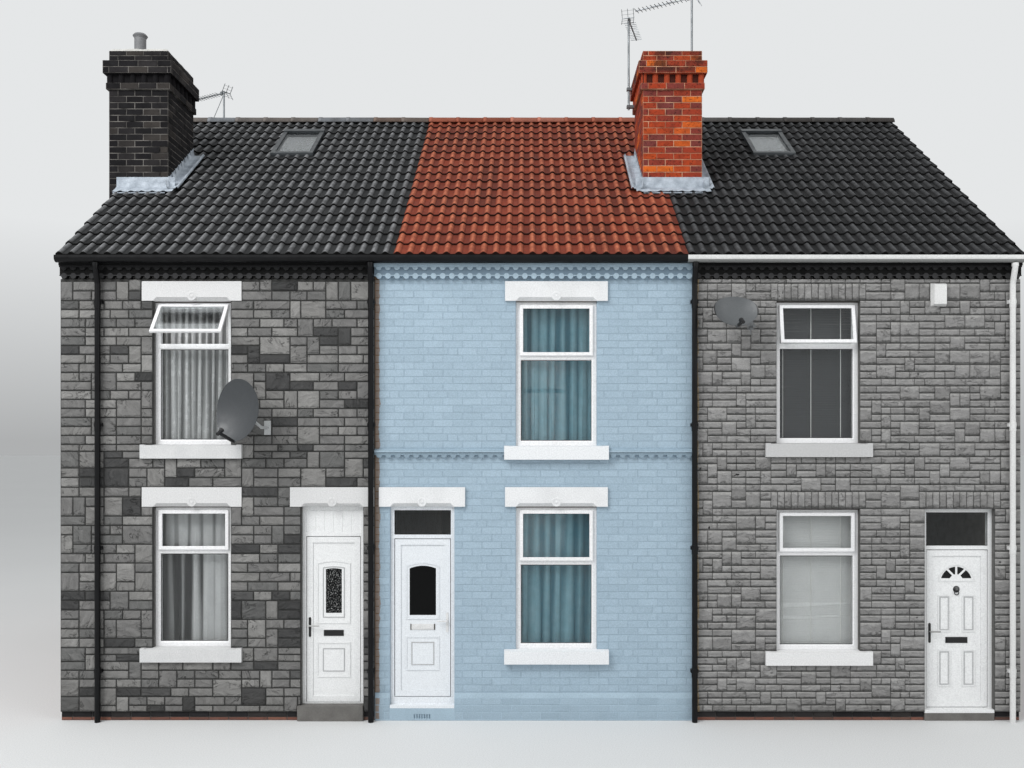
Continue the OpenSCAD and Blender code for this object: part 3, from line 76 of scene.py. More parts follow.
def linear(code: str) -> tuple[float, float, float, float]:
    """Turns a six digit colour code as seen on screen into a linear colour."""
    parts = [int(code[i:i + 2], 16) / 255 for i in (0, 2, 4)]
    return (*(c / 12.92 if c <= 0.04045 else ((c + 0.055) / 1.055) ** 2.4 for c in parts), 1.0)


def maths(operation: str, swapped: bool = False, clamp: bool = False) -> Callable[..., Wire]:
    """Makes a method of Wire that adds one Math node.

    Args:
        operation: what the node works out.
        swapped: whether the wire is the second value.
        clamp: whether the result is kept between zero and one.

    Returns:
        The method.
    """
    def method(self: Wire, other: Value = 0.0) -> Wire:
        """The wire and another value through the node."""
        first, second = (other, self) if swapped else (self, other)
        return self.tree.node("ShaderNodeMath", {0: first, 1: second},
                              operation=operation, use_clamp=clamp)
    return method


class Wire:
    """The output of a node. Python's operators on it add Math nodes."""

    def __init__(self, tree: Tree, socket: bpy.types.NodeSocket) -> None:
        """Keeps the socket and the tree that it is in."""
        self.tree, self.socket = tree, socket

    __add__, __radd__ = maths("ADD"), maths("ADD", swapped=True)
    __sub__, __rsub__ = maths("SUBTRACT"), maths("SUBTRACT", swapped=True)
    __mul__, __rmul__ = maths("MULTIPLY"), maths("MULTIPLY", swapped=True)
    __gt__, __lt__ = maths("GREATER_THAN"), maths("LESS_THAN")
    __abs__, sine = maths("ABSOLUTE"), maths("SINE")
    held = maths("ADD", clamp=True)


class Tree:
    """A node tree that is being wired, of a material or of Geometry Nodes."""

    def __init__(self, nodes: bpy.types.NodeTree) -> None:
        """Keeps the tree."""
        self.tree = nodes

    def node(self, kind: str, sockets: Optional[dict] = None, out: Union[int, str] = 0,
             **settings: object) -> Wire:
        """Adds a node, sets it, and then fills or links its sockets.

        Args:
            kind: the node's type.
            sockets: values, colour codes or wires by socket name or number.
            out: which output to give back.
            settings: its own properties; stops fills a ramp with (place, colour code) pairs.

        Returns:
            The chosen output.
        """
        made = self.tree.nodes.new(kind)
        stops = settings.pop("stops", ())
        for name, value in settings.items():
            setattr(made, name, value)
        for number, (place, code) in enumerate(stops):
            if number >= len(made.color_ramp.elements):
                made.color_ramp.elements.new(1.0)
            element = made.color_ramp.elements[number]
            element.position, element.color = place, linear(code)
        for key, value in (sockets or {}).items():
            socket = made.inputs[key]
            if isinstance(value, Wire):
                self.tree.links.new(value.socket, socket)
            else:
                coded = socket.type == "RGBA" and isinstance(value, str)
                socket.default_value = linear(value) if coded else value
        return Wire(self, made.outputs[out] if made.outputs else None)

    def outputs(self, wire: Wire, *labels: Union[int, str]) -> tuple[Wire, ...]:
        """Some outputs of a wire's node."""
        return tuple(Wire(self, wire.socket.node.outputs[label]) for label in labels)

    def parts(self, vector: Value) -> tuple[Wire, ...]:
        """The three parts of a vector."""
        return self.outputs(self.node("ShaderNodeSeparateXYZ", {0: vector}), 0, 1, 2)

    def joined(self, x: Value, y: Value, z: Value) -> Wire:
        """A vector of three values."""
        return self.node("ShaderNodeCombineXYZ", {0: x, 1: y, 2: z})

    def summed(self, first: Value, second: Value) -> Wire:
        """Two vectors added."""
        return self.node("ShaderNodeVectorMath", {0: first, 1: second}, operation="ADD")

    def turned(self, axis: str, vector: Value, angle: Value) -> Wire:
        """A vector turned about an axis."""
        return self.node("ShaderNodeVectorRotate", {"Vector": vector, "Angle": angle},
                         rotation_type=axis + "_AXIS")

    def mix(self, factor: Value, first: Value, second: Value, blend: str = "MIX") -> Wire:
        """Two colours mixed by a factor."""
        return self.node("ShaderNodeMix", {0: factor, 6: first, 7: second}, 2,
                         data_type="RGBA", blend_type=blend)

    def dimmed(self, colour: Value, shade: Wire) -> Wire:
        """A colour times a grey."""
        return self.mix(1.0, colour, self.joined(shade, shade, shade), "MULTIPLY")

    def noise(self, scale: float, detail: float, at: Value, bent: float = 0.0) -> Wire:
        """A noise of so many cells to the metre."""
        return self.node("ShaderNodeTexNoise", {
            "Scale": scale, "Detail": detail, "Distortion": bent, "Vector": at})

    def ranged(self, value: Value, low: float, high: float, to_low: float = 0.0,
               to_high: float = 1.0) -> Wire:
        """A value brought from one range to another and kept in it."""
        return self.node("ShaderNodeMapRange", dict(enumerate((value, low, high, to_low, to_high))))

    def clouds(self, scale: float, detail: float, at: Value, *ranges: float) -> Wire:
        """A noise brought from one range to another."""
        return self.ranged(self.noise(scale, detail, at), *ranges)

    def stored(self, label: str) -> Wire:
        """A number that the piece stores for each point, in a material."""
        return self.node("ShaderNodeAttribute", {}, "Fac", attribute_name=label)

    def named(self, label: str, kind: str = "FLOAT") -> Wire:
        """A stored number or vector, in a Geometry Nodes tree."""
        return self.node("GeometryNodeInputNamedAttribute", {"Name": label}, data_type=kind)

    def chance(self, low: Value, high: Value, seed: Value) -> Wire:
        """A random number for each point or instance."""
        return self.node("FunctionNodeRandomValue", {2: low, 3: high, "Seed": seed}, 1,
                         data_type="FLOAT")


def new_material(name: str) -> tuple[bpy.types.Material, Tree]:
    """An empty material and its tree."""
    made = bpy.data.materials.new(name)
    made.use_nodes = True
    made.node_tree.nodes.clear()
    return made, Tree(made.node_tree)


class Paints:
    """Makes each finish's material once."""

    _made: dict[str, bpy.types.Material] = {}

    @classmethod
    def of(cls, finish: Union[Finish, Glazing]) -> bpy.types.Material:
        """The material of a finish."""
        if finish.name not in cls._made:
            cls._made[finish.name] = finish.material()
        return cls._made[finish.name]


@dataclass(frozen=True)
class Finish:
    """A finish of one colour that wanders a little, with grime and a fine grain."""

    name: str
    colour: str
    second: str = ""
    mottle: float = 0.35
    mottle_scale: float = 3.0
    roughness: float = 0.6
    spread: float = 0.12
    grain: float = 0.25
    grain_scale: float = 180.0
    metallic: float = 0.0
    coat: float = 0.0
    foot_grime: float = 0.0
    dent: float = 0.004
    shine: float = 0.5

    def place(self, tree: Tree) -> Wire:
        """Where a point is on the piece."""
        return tree.node("ShaderNodeTexCoord", out="Object")

    def base(self, tree: Tree, at: Wire) -> Wire:
        """The finish's own colour at a point."""
        patches = tree.clouds(self.mottle_scale, 5.0, at, 0.35, 0.7)
        return tree.mix(patches * self.mottle, self.colour, self.second or self.colour)

    def aged(self, tree: Tree, at: Wire, colour: Wire) -> Wire:
        """The colour with fine speckle, and grime near the ground."""
        colour = tree.dimmed(colour, tree.clouds(70.0, 2.0, at, 0.3, 0.75, 0.88, 1.07))
        if self.foot_grime > 0:
            ragged = tree.noise(5.0, 4.0, at) * 0.5 + tree.parts(at)[2]
            low = tree.ranged(ragged, 0.25, 0.75, self.foot_grime, 0.0)
            colour = tree.mix(low, colour, "4a4640")
        return colour

    def relief(self, tree: Tree, at: Wire) -> Wire:
        """The height that the bump follows."""
        return (tree.noise(self.grain_scale, 4.0, at)
                + tree.noise(self.grain_scale / 9, 3.0, at) * 1.5)

    def material(self) -> bpy.types.Material:
        """Builds the finish as a material."""
        made, tree = new_material(self.name)
        at = self.place(tree)
        bump = tree.node("ShaderNodeBump", {
            "Strength": self.grain, "Distance": self.dent, "Height": self.relief(tree, at)})
        wear = tree.clouds(9.0, 4.0, at, 0.3, 0.7, self.roughness - self.spread,
                           self.roughness + self.spread)
        self.close(tree, at, tree.node("ShaderNodeBsdfPrincipled", {
            "Base Color": self.aged(tree, at, self.base(tree, at)), "Roughness": wear,
            "Metallic": self.metallic, "Coat Weight": self.coat,
            "Specular IOR Level": self.shine, "Normal": bump}))
        return made

    def close(self, tree: Tree, at: Wire, shader: Wire) -> None:
        """Links the shader to the output."""
        tree.node("ShaderNodeOutputMaterial", {"Surface": shader})


@dataclass(frozen=True)
class BlockFinish(Finish):
    """A finish of laid blocks, each with a tone of its own from its tone attribute."""

    tones: tuple[tuple[float, str], ...] = ()
    vein: float = 0.0
    vein_scale: float = 14.0
    # crown: the colour of the tiles' rolls, lighter partly with weathering and partly as a painted
    # highlight
    crown: str = ""
    edge_x: float = 0.0
    edge_colour: str = ""
    sooty_above: float = math.inf

    @staticmethod
    def own(tree: Tree, at: Wire) -> tuple[Wire, Wire, Wire]:
        """The block's tone, a place that differs from block to block, and that place turned."""
        tone = tree.stored("tone")
        moved = tree.summed(at, tree.joined(tone * 31.0, tone * 17.0, tone * 7.0))
        return tone, moved, tree.turned("Y", moved, tone * 39.0)

    def gouges(self, tree: Tree, slanted: Wire) -> Wire:
        """One inside the block's gouges."""
        return tree.clouds(self.vein_scale, 2.0, slanted, 0.60, 0.70)

    def base(self, tree: Tree, at: Wire) -> Wire:
        """The block's tone, with patches, gouges, crowns lighter with weathering and a painted
        highlight, painted shade on tile noses, and soot.
        """
        tone, moved, slanted = self.own(tree, at)
        colour = tree.node("ShaderNodeValToRGB", {0: tone}, stops=self.tones)
        patches = tree.clouds(self.mottle_scale, 6.0, moved, 0.4, 0.75)
        colour = tree.mix(patches * self.mottle, colour, self.second)
        # Tiles: the rolls' crowns take a painted highlight along with weathering, and the nose
        # faces (crown below zero) take painted shade.
        if self.crown:
            high = tree.stored("crown")
            worn = tree.clouds(9.0, 4.0, moved, 0.3, 0.7, 0.3, 1.0)
            colour = tree.mix(tree.ranged(high, 0.15, 1.0) * worn, colour, self.crown)
            colour = tree.mix(tree.ranged(high, -0.9, -0.1, 0.9, 0.0), colour, "0a0909")
        if self.vein > 0:
            colour = tree.mix(self.gouges(tree, slanted) * self.vein, colour, "1c1b1a")
        if self.sooty_above < math.inf:
            high = tree.ranged(tree.parts(at)[2], self.sooty_above, self.sooty_above + 0.06)
            sooty = tree.clouds(4.5, 4.0, at, 0.42, 0.58, 0.1, 0.8)
            colour = tree.mix(high * sooty, colour, "2c1d18")
        return self.edged(tree, at, colour)

    def edged(self, tree: Tree, at: Wire, colour: Wire) -> Wire:
        """The colour with the bare strip along one edge of the house."""
        if not self.edge_colour:
            return colour
        ragged = tree.noise(6.0, 3.0, at) * 0.08 + self.edge_x - 0.04
        return tree.mix((tree.parts(at)[0] < ragged) * 0.8, colour, self.edge_colour)

    def relief(self, tree: Tree, at: Wire) -> Wire:
        """Grain, coarse dents, and the gouges."""
        rough = (tree.noise(self.grain_scale, 4.0, at)
                 + tree.noise(self.grain_scale / 7, 4.0, at) * 2.0)
        return rough - self.gouges(tree, self.own(tree, at)[2]) * (self.vein * 4.0)


@dataclass(frozen=True)
class StoneFinish(BlockFinish):
    """Split stones: a rippled face with cracks, a painted highlight along the top arris and a
    ragged painted shadow at the foot.
    """

    ripple: float = 9.0
    stretch: float = 1.8
    crack: float = 0.03
    # under: how far up the stone the painted shadow at its foot reaches, or zero for none.
    under: float = 0.0
    slanted: bool = True

    def split(self, tree: Tree, at: Wire) -> tuple[Wire, Wire, Wire]:
        """The split face's height, its cracks, and how far up the stone a point is."""
        _, moved, slanted = self.own(tree, at)
        drawn = tree.node("ShaderNodeVectorMath", {
            0: slanted if self.slanted else moved, 1: (1.0, 1.0, self.stretch)},
            operation="MULTIPLY")
        height = tree.noise(self.ripple, 5.0, drawn, bent=0.8)
        where = tree.clouds(self.ripple * 0.8, 2.0, moved, 0.5, 0.6)
        ragged = (tree.noise(22.0, 3.0, moved) - 0.5) * 0.55 + tree.stored("rise")
        return height, tree.ranged(abs(height - 0.5), 0.0, self.crack, 1.0, 0.0) * where, ragged

    def base(self, tree: Tree, at: Wire) -> Wire:
        """The stone's tone, with painted shade in the ripples' hollows and painted light on their
        ridges.
        """
        height, crack, ragged = self.split(tree, at)
        # Painted shade and light: darker where the split face is low, lighter where it is high.
        shade = tree.ranged(height, 0.32, 0.68, 1.0 - self.mottle, 1.0 + self.mottle * 0.7)
        tone = tree.node("ShaderNodeValToRGB", {0: tree.stored("tone")}, stops=self.tones)
        colour = tree.mix(crack * self.vein, tree.dimmed(tone, shade), "1f1f1e")
        # Painted shadow along the stone's foot, and a painted highlight along its top arris.
        if self.under > 0:
            foot = tree.ranged(ragged, self.under * 0.4, self.under, 0.6, 0.0)
            colour = tree.mix(foot, colour, "333332")
            colour = tree.mix(tree.ranged(ragged, 0.8, 0.95, 0.0, 0.4), colour, "b4b3b0")
        return self.edged(tree, at, colour)

    def relief(self, tree: Tree, at: Wire) -> Wire:
        """The ripples and cracks, with a fine grain."""
        height, crack, ragged = self.split(tree, at)
        foot = tree.ranged(ragged, 0.0, max(self.under, 0.05) * 1.5) * 0.6
        grain = tree.noise(self.grain_scale, 3.0, at) * 0.25
        return height * 2.0 - crack * 0.5 + foot + grain


@dataclass(frozen=True)
class Zone:
    """A part of a piece with a colour of its own: between places along one or more axes."""

    colour: str
    x: Optional[Span] = None
    y: Optional[Span] = None
    z: Optional[Span] = None


@dataclass(frozen=True)
class ZonedFinish(Finish):
    """A finish with other colours in parts of the piece."""

    zones: tuple[Zone, ...] = ()

    def base(self, tree: Tree, at: Wire) -> Wire:
        """The finish's colour, and each zone's own."""
        colour = super().base(tree, at)
        places = tree.parts(at)
        for zone in self.zones:
            inside: Value = 1.0
            for place, span in zip(places, (zone.x, zone.y, zone.z)):
                if span:
                    inside = (place > span[0]) * (place < span[1]) * inside
            colour = tree.mix(inside, colour, zone.colour)
        return colour


@dataclass(frozen=True)
class Shell:
    """A dish: its centre, how it leans, how deep it is, and the colours of it and its bracket."""

    centre: Point
    lean: Point
    sag: float
    colour: str
    bracket: str


@dataclass(frozen=True)
class DishFinish(Finish):
    """Dishes, each a shell of its own colour with a dark feed before it and a bracket behind."""

    feed: str = "141416"
    shells: tuple[Shell, ...] = ()
    behind: float = 0.012

    def base(self, tree: Tree, at: Wire) -> Wire:
        """Dark before each shell, and the bracket's colour behind it."""
        colour = super().base(tree, at)
        across = tree.parts(at)[0]
        for shell in self.shells:
            x, y, _ = shell.centre
            upright = tree.node("ShaderNodeVectorRotate", {
                "Vector": at, "Center": shell.centre, "Rotation": shell.lean},
                rotation_type="EULER_XYZ", invert=True)
            depth = tree.parts(upright)[1] - y
            shown = tree.mix(depth < -shell.sag, shell.colour, self.feed)
            shown = tree.mix(depth > self.behind, shown, shell.bracket)
            colour = tree.mix((across > x - 1.0) * (across < x + 1.0), colour, shown)
        return colour


@dataclass(frozen=True)
class WallFinish(Finish):
    """The body of an outer wall: a face outside, plaster inside, and bare strips at its ends."""

    inside: str = "cfcac0"
    face_y: float = 0.0
    outward: float = -1.0
    painted: Span = (-100.0, 100.0)
    strip: str = "6c6a66"
    beyond: str = "575654"
    skin: float = 0.06

    def base(self, tree: Tree, at: Wire) -> Wire:
        """The face colour out to its depth between two places, and plaster behind it."""
        left, right = self.painted
        across, deep, _ = tree.parts(at)
        outside = deep * self.outward > self.face_y * self.outward - self.skin
        span = (across > left) * (across < right)
        bare = tree.mix(across > left - self.skin, self.beyond, self.strip)
        bare = tree.mix(across > right, bare, self.beyond)
        return tree.mix(outside, self.inside, tree.mix(span, bare, super().base(tree, at)))


@dataclass(frozen=True)
class Glazing:
    """Clear or tinted glass that shows what is behind it."""

    name: str
    tint: str = "fafcfc"
    gloss: float = 0.03
    mirror: float = 0.022
    flecks: float = 0.0

    def material(self) -> bpy.types.Material:
        """Builds the glass from a clear and a mirror-like shader, mixed by the angle of view."""
        made, tree = new_material(self.name)
        at = tree.node("ShaderNodeTexCoord", out="Object")
        ripple = tree.node("ShaderNodeBump", {
            "Strength": 0.05, "Distance": 0.002, "Height": tree.noise(1.5, 1.0, at)})
        clear = tree.node("ShaderNodeBsdfTransparent", {"Color": self.tint})
        gloss = tree.node("ShaderNodeBsdfGlossy", {
            "Roughness": self.gloss, "Normal": ripple, "Color": "f4f6f7"})
        angle = tree.node("ShaderNodeLayerWeight", {"Blend": 0.25}, "Fresnel")
        both = tree.node("ShaderNodeMixShader", {
            0: (angle * 0.5 + self.mirror).held(), 1: clear, 2: gloss})
        if self.flecks:
            pale = tree.node("ShaderNodeBsdfDiffuse", {"Color": "dfe0e0"})
            spots = tree.clouds(75.0, 3.0, at, 0.55, 0.72, 0.0, self.flecks)
            both = tree.node("ShaderNodeMixShader", {0: spots, 1: both, 2: pale})
        tree.node("ShaderNodeOutputMaterial", {"Surface": both})
        return made


class Weave(Enum):
    """What a hung cloth is woven like."""

    LACE = "lace"
    LINED = "lined"
    SHEER = "sheer"


@dataclass(frozen=True)
class ClothFinish(Finish):
    """Curtain cloth that lets some light through, on the piece's own UV map."""

    weave: Weave = Weave.LINED
    thread: float = 900.0
    # deep and shade: how strongly, and to what colour, the folds take painted shade.
    deep: float = 0.7
    shade: str = "2e2e2f"
    lit: float = 0.3

    def place(self, tree: Tree) -> Wire:
        """The cloth's own flat place, in metres."""
        return tree.node("ShaderNodeUVMap", uv_map="flat")

    def relief(self, tree: Tree, at: Wire) -> Wire:
        """Crossing threads."""
        across, along, _ = tree.parts(at)
        return (across * self.thread).sine() * 0.5 + (along * self.thread).sine() * 0.5

    def aged(self, tree: Tree, at: Wire, colour: Wire) -> Wire:
        """Slubs along the threads, and shade in the folds."""
        colour = tree.dimmed(colour, tree.clouds(60.0, 3.0, at, 0.3, 0.7, 0.9, 1.08))
        # Painted shade in the folds, from the fold attribute.
        fold = tree.ranged(tree.stored("fold"), 0.3, 0.78, 0.0, self.deep)
        return tree.mix(fold, colour, self.shade)

    def openness(self, tree: Tree, at: Wire) -> Wire:
        """How much is open between the threads: sprigs and a ground of mesh on lace."""
        if self.weave is Weave.LINED:
            return tree.clouds(40.0, 2.0, at, 0.2, 0.8, 0.0, 0.06)
        if self.weave is Weave.SHEER:
            return tree.clouds(12.0, 2.0, at, 0.3, 0.7, 0.06, 0.16)
        sprig, petal = (tree.node("ShaderNodeTexVoronoi", {"Vector": at, "Scale": scale},
                                  feature=feature)
                        for scale, feature in ((9.0, "F1"), (34.0, "DISTANCE_TO_EDGE")))
        solid = tree.ranged(sprig, 0.30, 0.42, 1.0, 0.0) * tree.ranged(petal, 0.02, 0.10)
        return tree.ranged(solid, 0.0, 1.0, 0.18, 0.03)

    def close(self, tree: Tree, at: Wire, shader: Wire) -> None:
        """Mixes in light from behind, and then what is open."""
        through = tree.node("ShaderNodeBsdfTranslucent", {"Color": self.colour})
        lit = tree.node("ShaderNodeMixShader", {0: self.lit, 1: shader, 2: through})
        clear = tree.node("ShaderNodeBsdfTransparent")
        super().close(tree, at, tree.node("ShaderNodeMixShader", {
            0: self.openness(tree, at), 1: lit, 2: clear}))


@dataclass(frozen=True)
class Box:
    """A box between two corners, in metres."""

    low: Vector
    high: Vector

    @property
    def middle(self) -> Vector:
        """The centre."""
        return (self.low + self.high) / 2

    @property
    def size(self) -> Vector:
        """Its length, depth and height."""
        return self.high - self.low

    def front(self) -> Rect:
        """Its outline seen from the front: left, right, bottom, top."""
        return self.low.x, self.high.x, self.low.z, self.high.z


class Frame:
    """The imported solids, and what can be read off them."""

    WINDOW_H = 1.2

    def __init__(self) -> None:
        """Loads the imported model."""
        self.nodes: dict[str, bpy.types.Object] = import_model()["nodes"]

    def box(self, node: str) -> Box:
        """The box of a whole node."""
        return Box(*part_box(node))

    def solids(self, node: str) -> list[Box]:
        """The boxes of a node's separate solids, from left to right and then upwards.

        Args:
            node: the CAD node's name.

        Returns:
            One box for each solid.
        """
        mesh = self.nodes[node].data
        keys = [tuple(round(c, 5) for c in v.co) for v in mesh.vertices]
        parent: dict[Point, Point] = {key: key for key in keys}

        def top(key: Point) -> Point:
            """The group that a corner is in."""
            while parent[key] != key:
                parent[key] = parent[parent[key]]
                key = parent[key]
            return key

        for face in mesh.polygons:
            first, *rest = [top(keys[i]) for i in face.vertices]
            for other in rest:
                parent[top(other)] = top(first)
        groups: dict[Point, list[Point]] = {}
        for key in parent:
            groups.setdefault(top(key), []).append(key)
        boxes = [Box(Vector(map(min, *g)), Vector(map(max, *g))) for g in groups.values()]
        return sorted(boxes, key=lambda b: (round(b.middle.x, 2), round(b.middle.z, 2), b.middle.y))

    def windows(self, node: str) -> list[Rect]:
        """The outlines of a node's window frames, without their opened sashes."""
        return [b.front() for b in self.solids(node) if b.size.z > self.WINDOW_H]

    def doorways(self, node: str) -> list[Rect]:
        """The outlines of a node's doors, down to the ground."""
        return [(b.low.x, b.high.x, 0.0, b.high.z) for b in self.solids(node)]

    def front_gaps(self) -> list[Rect]:
        """The openings of the front with their lintels and sills."""
        gaps = self.windows("window_frames_front") + self.doorways("door_frames")
        gaps += [b.front() for b in self.solids("lintels")]
        return gaps + [b.front() for b in self.solids("sills") if b.low.y < 0]

    def dress(self, finish: Union[Finish, Glazing], *nodes: str, soften: float = 0.0) -> None:
        """Gives CAD nodes a finish, and takes the sharpness off their edges.

        Args:
            finish: the finish.
            nodes: the nodes' names.
            soften: the width of the rounding, in metres, or zero for none.
        """
        for name in nodes:
            shown = self.nodes[name]
            if not shown.material_slots:
                shown.data.materials.append(Paints.of(finish))
            for slot in shown.material_slots:
                slot.material = Paints.of(finish)
            if soften > 0:
                weld = shown.modifiers.new("weld", "WELD")
                weld.merge_threshold = 0.00005
                bevel = shown.modifiers.new("arris", "BEVEL")
                bevel.width = soften
                bevel.segments = 2
                bevel.limit_method = "ANGLE"
                bevel.angle_limit = math.radians(35)


def piece(name: str, mesh: bpy.types.Mesh, slot: str,
          replaced: Sequence[str] = ()) -> bpy.types.Object:
    """Makes a mesh a piece of the row, on its fixed body.

    Args:
        name: the piece's name.
        mesh: its mesh, in place.
        slot: not used.
        replaced: the CAD nodes that it stands for.

    Returns:
        The new object.
    """
    made = bpy.data.objects.new(name, mesh)
    bpy.context.scene.collection.objects.link(made)
    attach(made, ROOT)
    if replaced:
        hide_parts(*replaced)
    LOG.info("%s: %d faces", name, len(mesh.polygons))
    return made


@contextmanager
def opened(mesh: bpy.types.Mesh) -> Iterator[bmesh.types.BMesh]:
    """Lends a mesh for editing, and writes it back."""
    edited = bmesh.new()
    edited.from_mesh(mesh)
    yield edited
    edited.to_mesh(mesh)
    edited.free()


def surface(name: str, points: Sequence[Point], faces: Faces = (),
            finish: Optional[Finish] = None, outward: bool = False) -> bpy.types.Mesh:
    """A mesh of points and faces.

    Args:
        name: the mesh's name.
        points: its points.
        faces: its faces, by the numbers of their points.
        finish: its finish.
        outward: whether its faces are turned to look out.

    Returns:
        The mesh.
    """
    made = bpy.data.meshes.new(name)
    made.from_pydata(points, [], faces)
    if finish:
        made.materials.append(Paints.of(finish))
    if outward:
        with opened(made) as edited:
            bmesh.ops.recalc_face_normals(edited, faces=edited.faces)
    return made


def store(mesh: bpy.types.Mesh, label: str, values: Sequence[Union[float, Point]]) -> None:
    """Stores a number or a vector for each point of a mesh."""
    single = not isinstance(values[0], tuple)
    numbers = values if single else [c for value in values for c in value]
    held = mesh.attributes.new(label, "FLOAT" if single else "FLOAT_VECTOR", "POINT")
    held.data.foreach_set("value" if single else "vector", numbers)


def smooth(mesh: bpy.types.Mesh) -> None:
    """Shades a mesh smooth."""
    mesh.polygons.foreach_set("use_smooth", [True] * len(mesh.polygons))


def add_box(edited: bmesh.types.BMesh, middle: Point, size: Point) -> list[bmesh.types.BMVert]:
    """Adds a box to a mesh that is being edited."""
    place = Matrix.Translation(middle) @ Matrix.Diagonal((*size, 1))
    return bmesh.ops.create_cube(edited, size=1, matrix=place)["verts"]


def grid_faces(rows: int, wide: int) -> Faces:
    """The faces between rows of points that are numbered row by row."""
    return [(i, i + 1, i + wide + 1, i + wide)
            for r in range(rows - 1) for i in range(r * wide, (r + 1) * wide - 1)]


def sheet_mesh(name: str, rows: Sequence[Sequence[Point]], finish: Finish) -> bpy.types.Mesh:
    """A smooth surface through equally long rows of points."""
    faces = grid_faces(len(rows), len(rows[0]))
    made = surface(name, [p for row in rows for p in row], faces, finish)
    smooth(made)
    return made


@dataclass
class Recipe:
    """A Geometry Nodes tree with named inputs."""

    name: str
    inputs: dict[str, str]
    body: Callable[[Tree, dict[str, Wire]], Wire]
    group: Optional[bpy.types.NodeTree] = None

    def made(self) -> bpy.types.NodeTree:
        """The node group, built when it is first needed."""
        if self.group is None:
            self.group = bpy.data.node_groups.new(self.name, "GeometryNodeTree")
            for label, kind in {"Geometry": "Geometry", **self.inputs}.items():
                self.group.interface.new_socket(label, in_out="INPUT",
                                                socket_type="NodeSocket" + kind)
            self.group.interface.new_socket("Geometry", in_out="OUTPUT",
                                            socket_type="NodeSocketGeometry")
            tree = Tree(self.group)
            labels = ("Geometry", *self.inputs)
            wires = dict(zip(labels, tree.outputs(tree.node("NodeGroupInput"), *labels)))
            painted = tree.node("GeometryNodeSetMaterial", {
                "Geometry": self.body(tree, wires), "Material": wires["Material"]})
            tree.node("NodeGroupOutput", {0: painted})
        return self.group

    def cook(self, name: str, finish: Finish, source: Optional[bpy.types.Mesh] = None,
             **values: Value) -> bpy.types.Mesh:
        """Runs the tree on a mesh.

        Args:
            name: the name of the result.
            finish: its finish.
            source: the mesh that the modifier stands on, or none for an empty one.
            values: the inputs by name, with _ for a space.

        Returns:
            A plain mesh.
        """
        values["Material"] = Paints.of(finish)
        holder = bpy.data.objects.new(name + "_source", source or surface(name + "_source", ()))
        bpy.context.scene.collection.objects.link(holder)
        modifier = holder.modifiers.new(self.name, "NODES")
        modifier.node_group = self.made()
        for item in self.group.interface.items_tree:
            key = item.name.replace(" ", "_")
            if item.in_out == "INPUT" and key in values:
                modifier[item.identifier] = values[key]
        graph = bpy.context.evaluated_depsgraph_get()
        made = bpy.data.meshes.new_from_object(holder.evaluated_get(graph),
                                               preserve_all_data_layers=True, depsgraph=graph)
        holder.modifiers.remove(modifier)
        bpy.data.objects.remove(holder)
        made.name = name
        return made


def lay_blocks(tree: Tree, given: dict[str, Wire]) -> Wire:
    """Sets one block on each point, bevels it, and roughens its face.

    Args:
        tree: the Geometry Nodes tree.
        given: the group's inputs.

    Returns:
        The realized blocks.
    """
    turn, tone, face, rim = (tree.named(label) for label in ("turn", "tone", "face", "rim"))
    placed = tree.node("GeometryNodeInstanceOnPoints", {
        "Points": given["Geometry"], "Scale": tree.named("size", "FLOAT_VECTOR"),
        "Instance": tree.node("GeometryNodeObjectInfo", {"Object": given["Block"]}, "Geometry"),
        "Rotation": tree.node("FunctionNodeEulerToRotation", {0: tree.joined(0.0, 0.0, turn)})})
    whole = tree.node("GeometryNodeRealizeInstances", {"Geometry": placed})
    seeded = tree.summed(tree.node("GeometryNodeInputPosition"),
                         tree.joined(tone * 53.0, tone * 29.0, given["Seed"] * 3.1))
    side, out_by, up = tree.parts(tree.node("ShaderNodeTexNoise", {
        "Vector": seeded, "Scale": given["Relief Scale"], "Detail": 2.0}, "Color"))
    wobble = tree.joined((side - 0.5) * given["Wobble"] * rim,
                         (out_by - 0.5) * given["Relief"] * face * -2.0,
                         (up - 0.5) * given["Wobble"] * rim)
    bevel = tree.node("ShaderNodeVectorMath", {
        0: tree.named("inset", "FLOAT_VECTOR"), "Scale": given["Bevel"]}, operation="SCALE")
    moved = tree.node("GeometryNodeSetPosition", {
        "Geometry": whole, "Offset": tree.turned("Z", tree.summed(bevel, wobble), turn)})
    return tree.node("GeometryNodeSetShadeSmooth", {0: moved, "Shade Smooth": given["Soft"]})


def jitter(tree: Tree, given: dict[str, Wire], share: float, number: int) -> Wire:
    """A random turn for each copy, up to a share of the group's jitter either way."""
    most = given["Jitter"] * share
    return tree.chance(most * -1.0, most, given["Seed"] + number)


def set_out(tree: Tree, given: dict[str, Wire], points: Wire, turn: Wire) -> Wire:
    """Sets copies of the group's object on points.

    Args:
        tree: the Geometry Nodes tree.
        given: the group's inputs.
        points: where the copies go.
        turn: how each is turned.

    Returns:
        The realized copies, with a tone for each.
    """
    placed = tree.node("GeometryNodeInstanceOnPoints", {
        "Points": points,
        "Instance": tree.node("GeometryNodeObjectInfo", {"Object": given["Copy"]}, "Geometry"),
        "Rotation": tree.node("FunctionNodeEulerToRotation", {0: turn})})
    toned = tree.node("GeometryNodeStoreNamedAttribute", {
        "Geometry": placed, "Name": "tone", "Value": tree.chance(0.0, 1.0, given["Seed"] + 2)},
        data_type="FLOAT", domain="INSTANCE")
    return tree.node("GeometryNodeRealizeInstances", {"Geometry": toned})


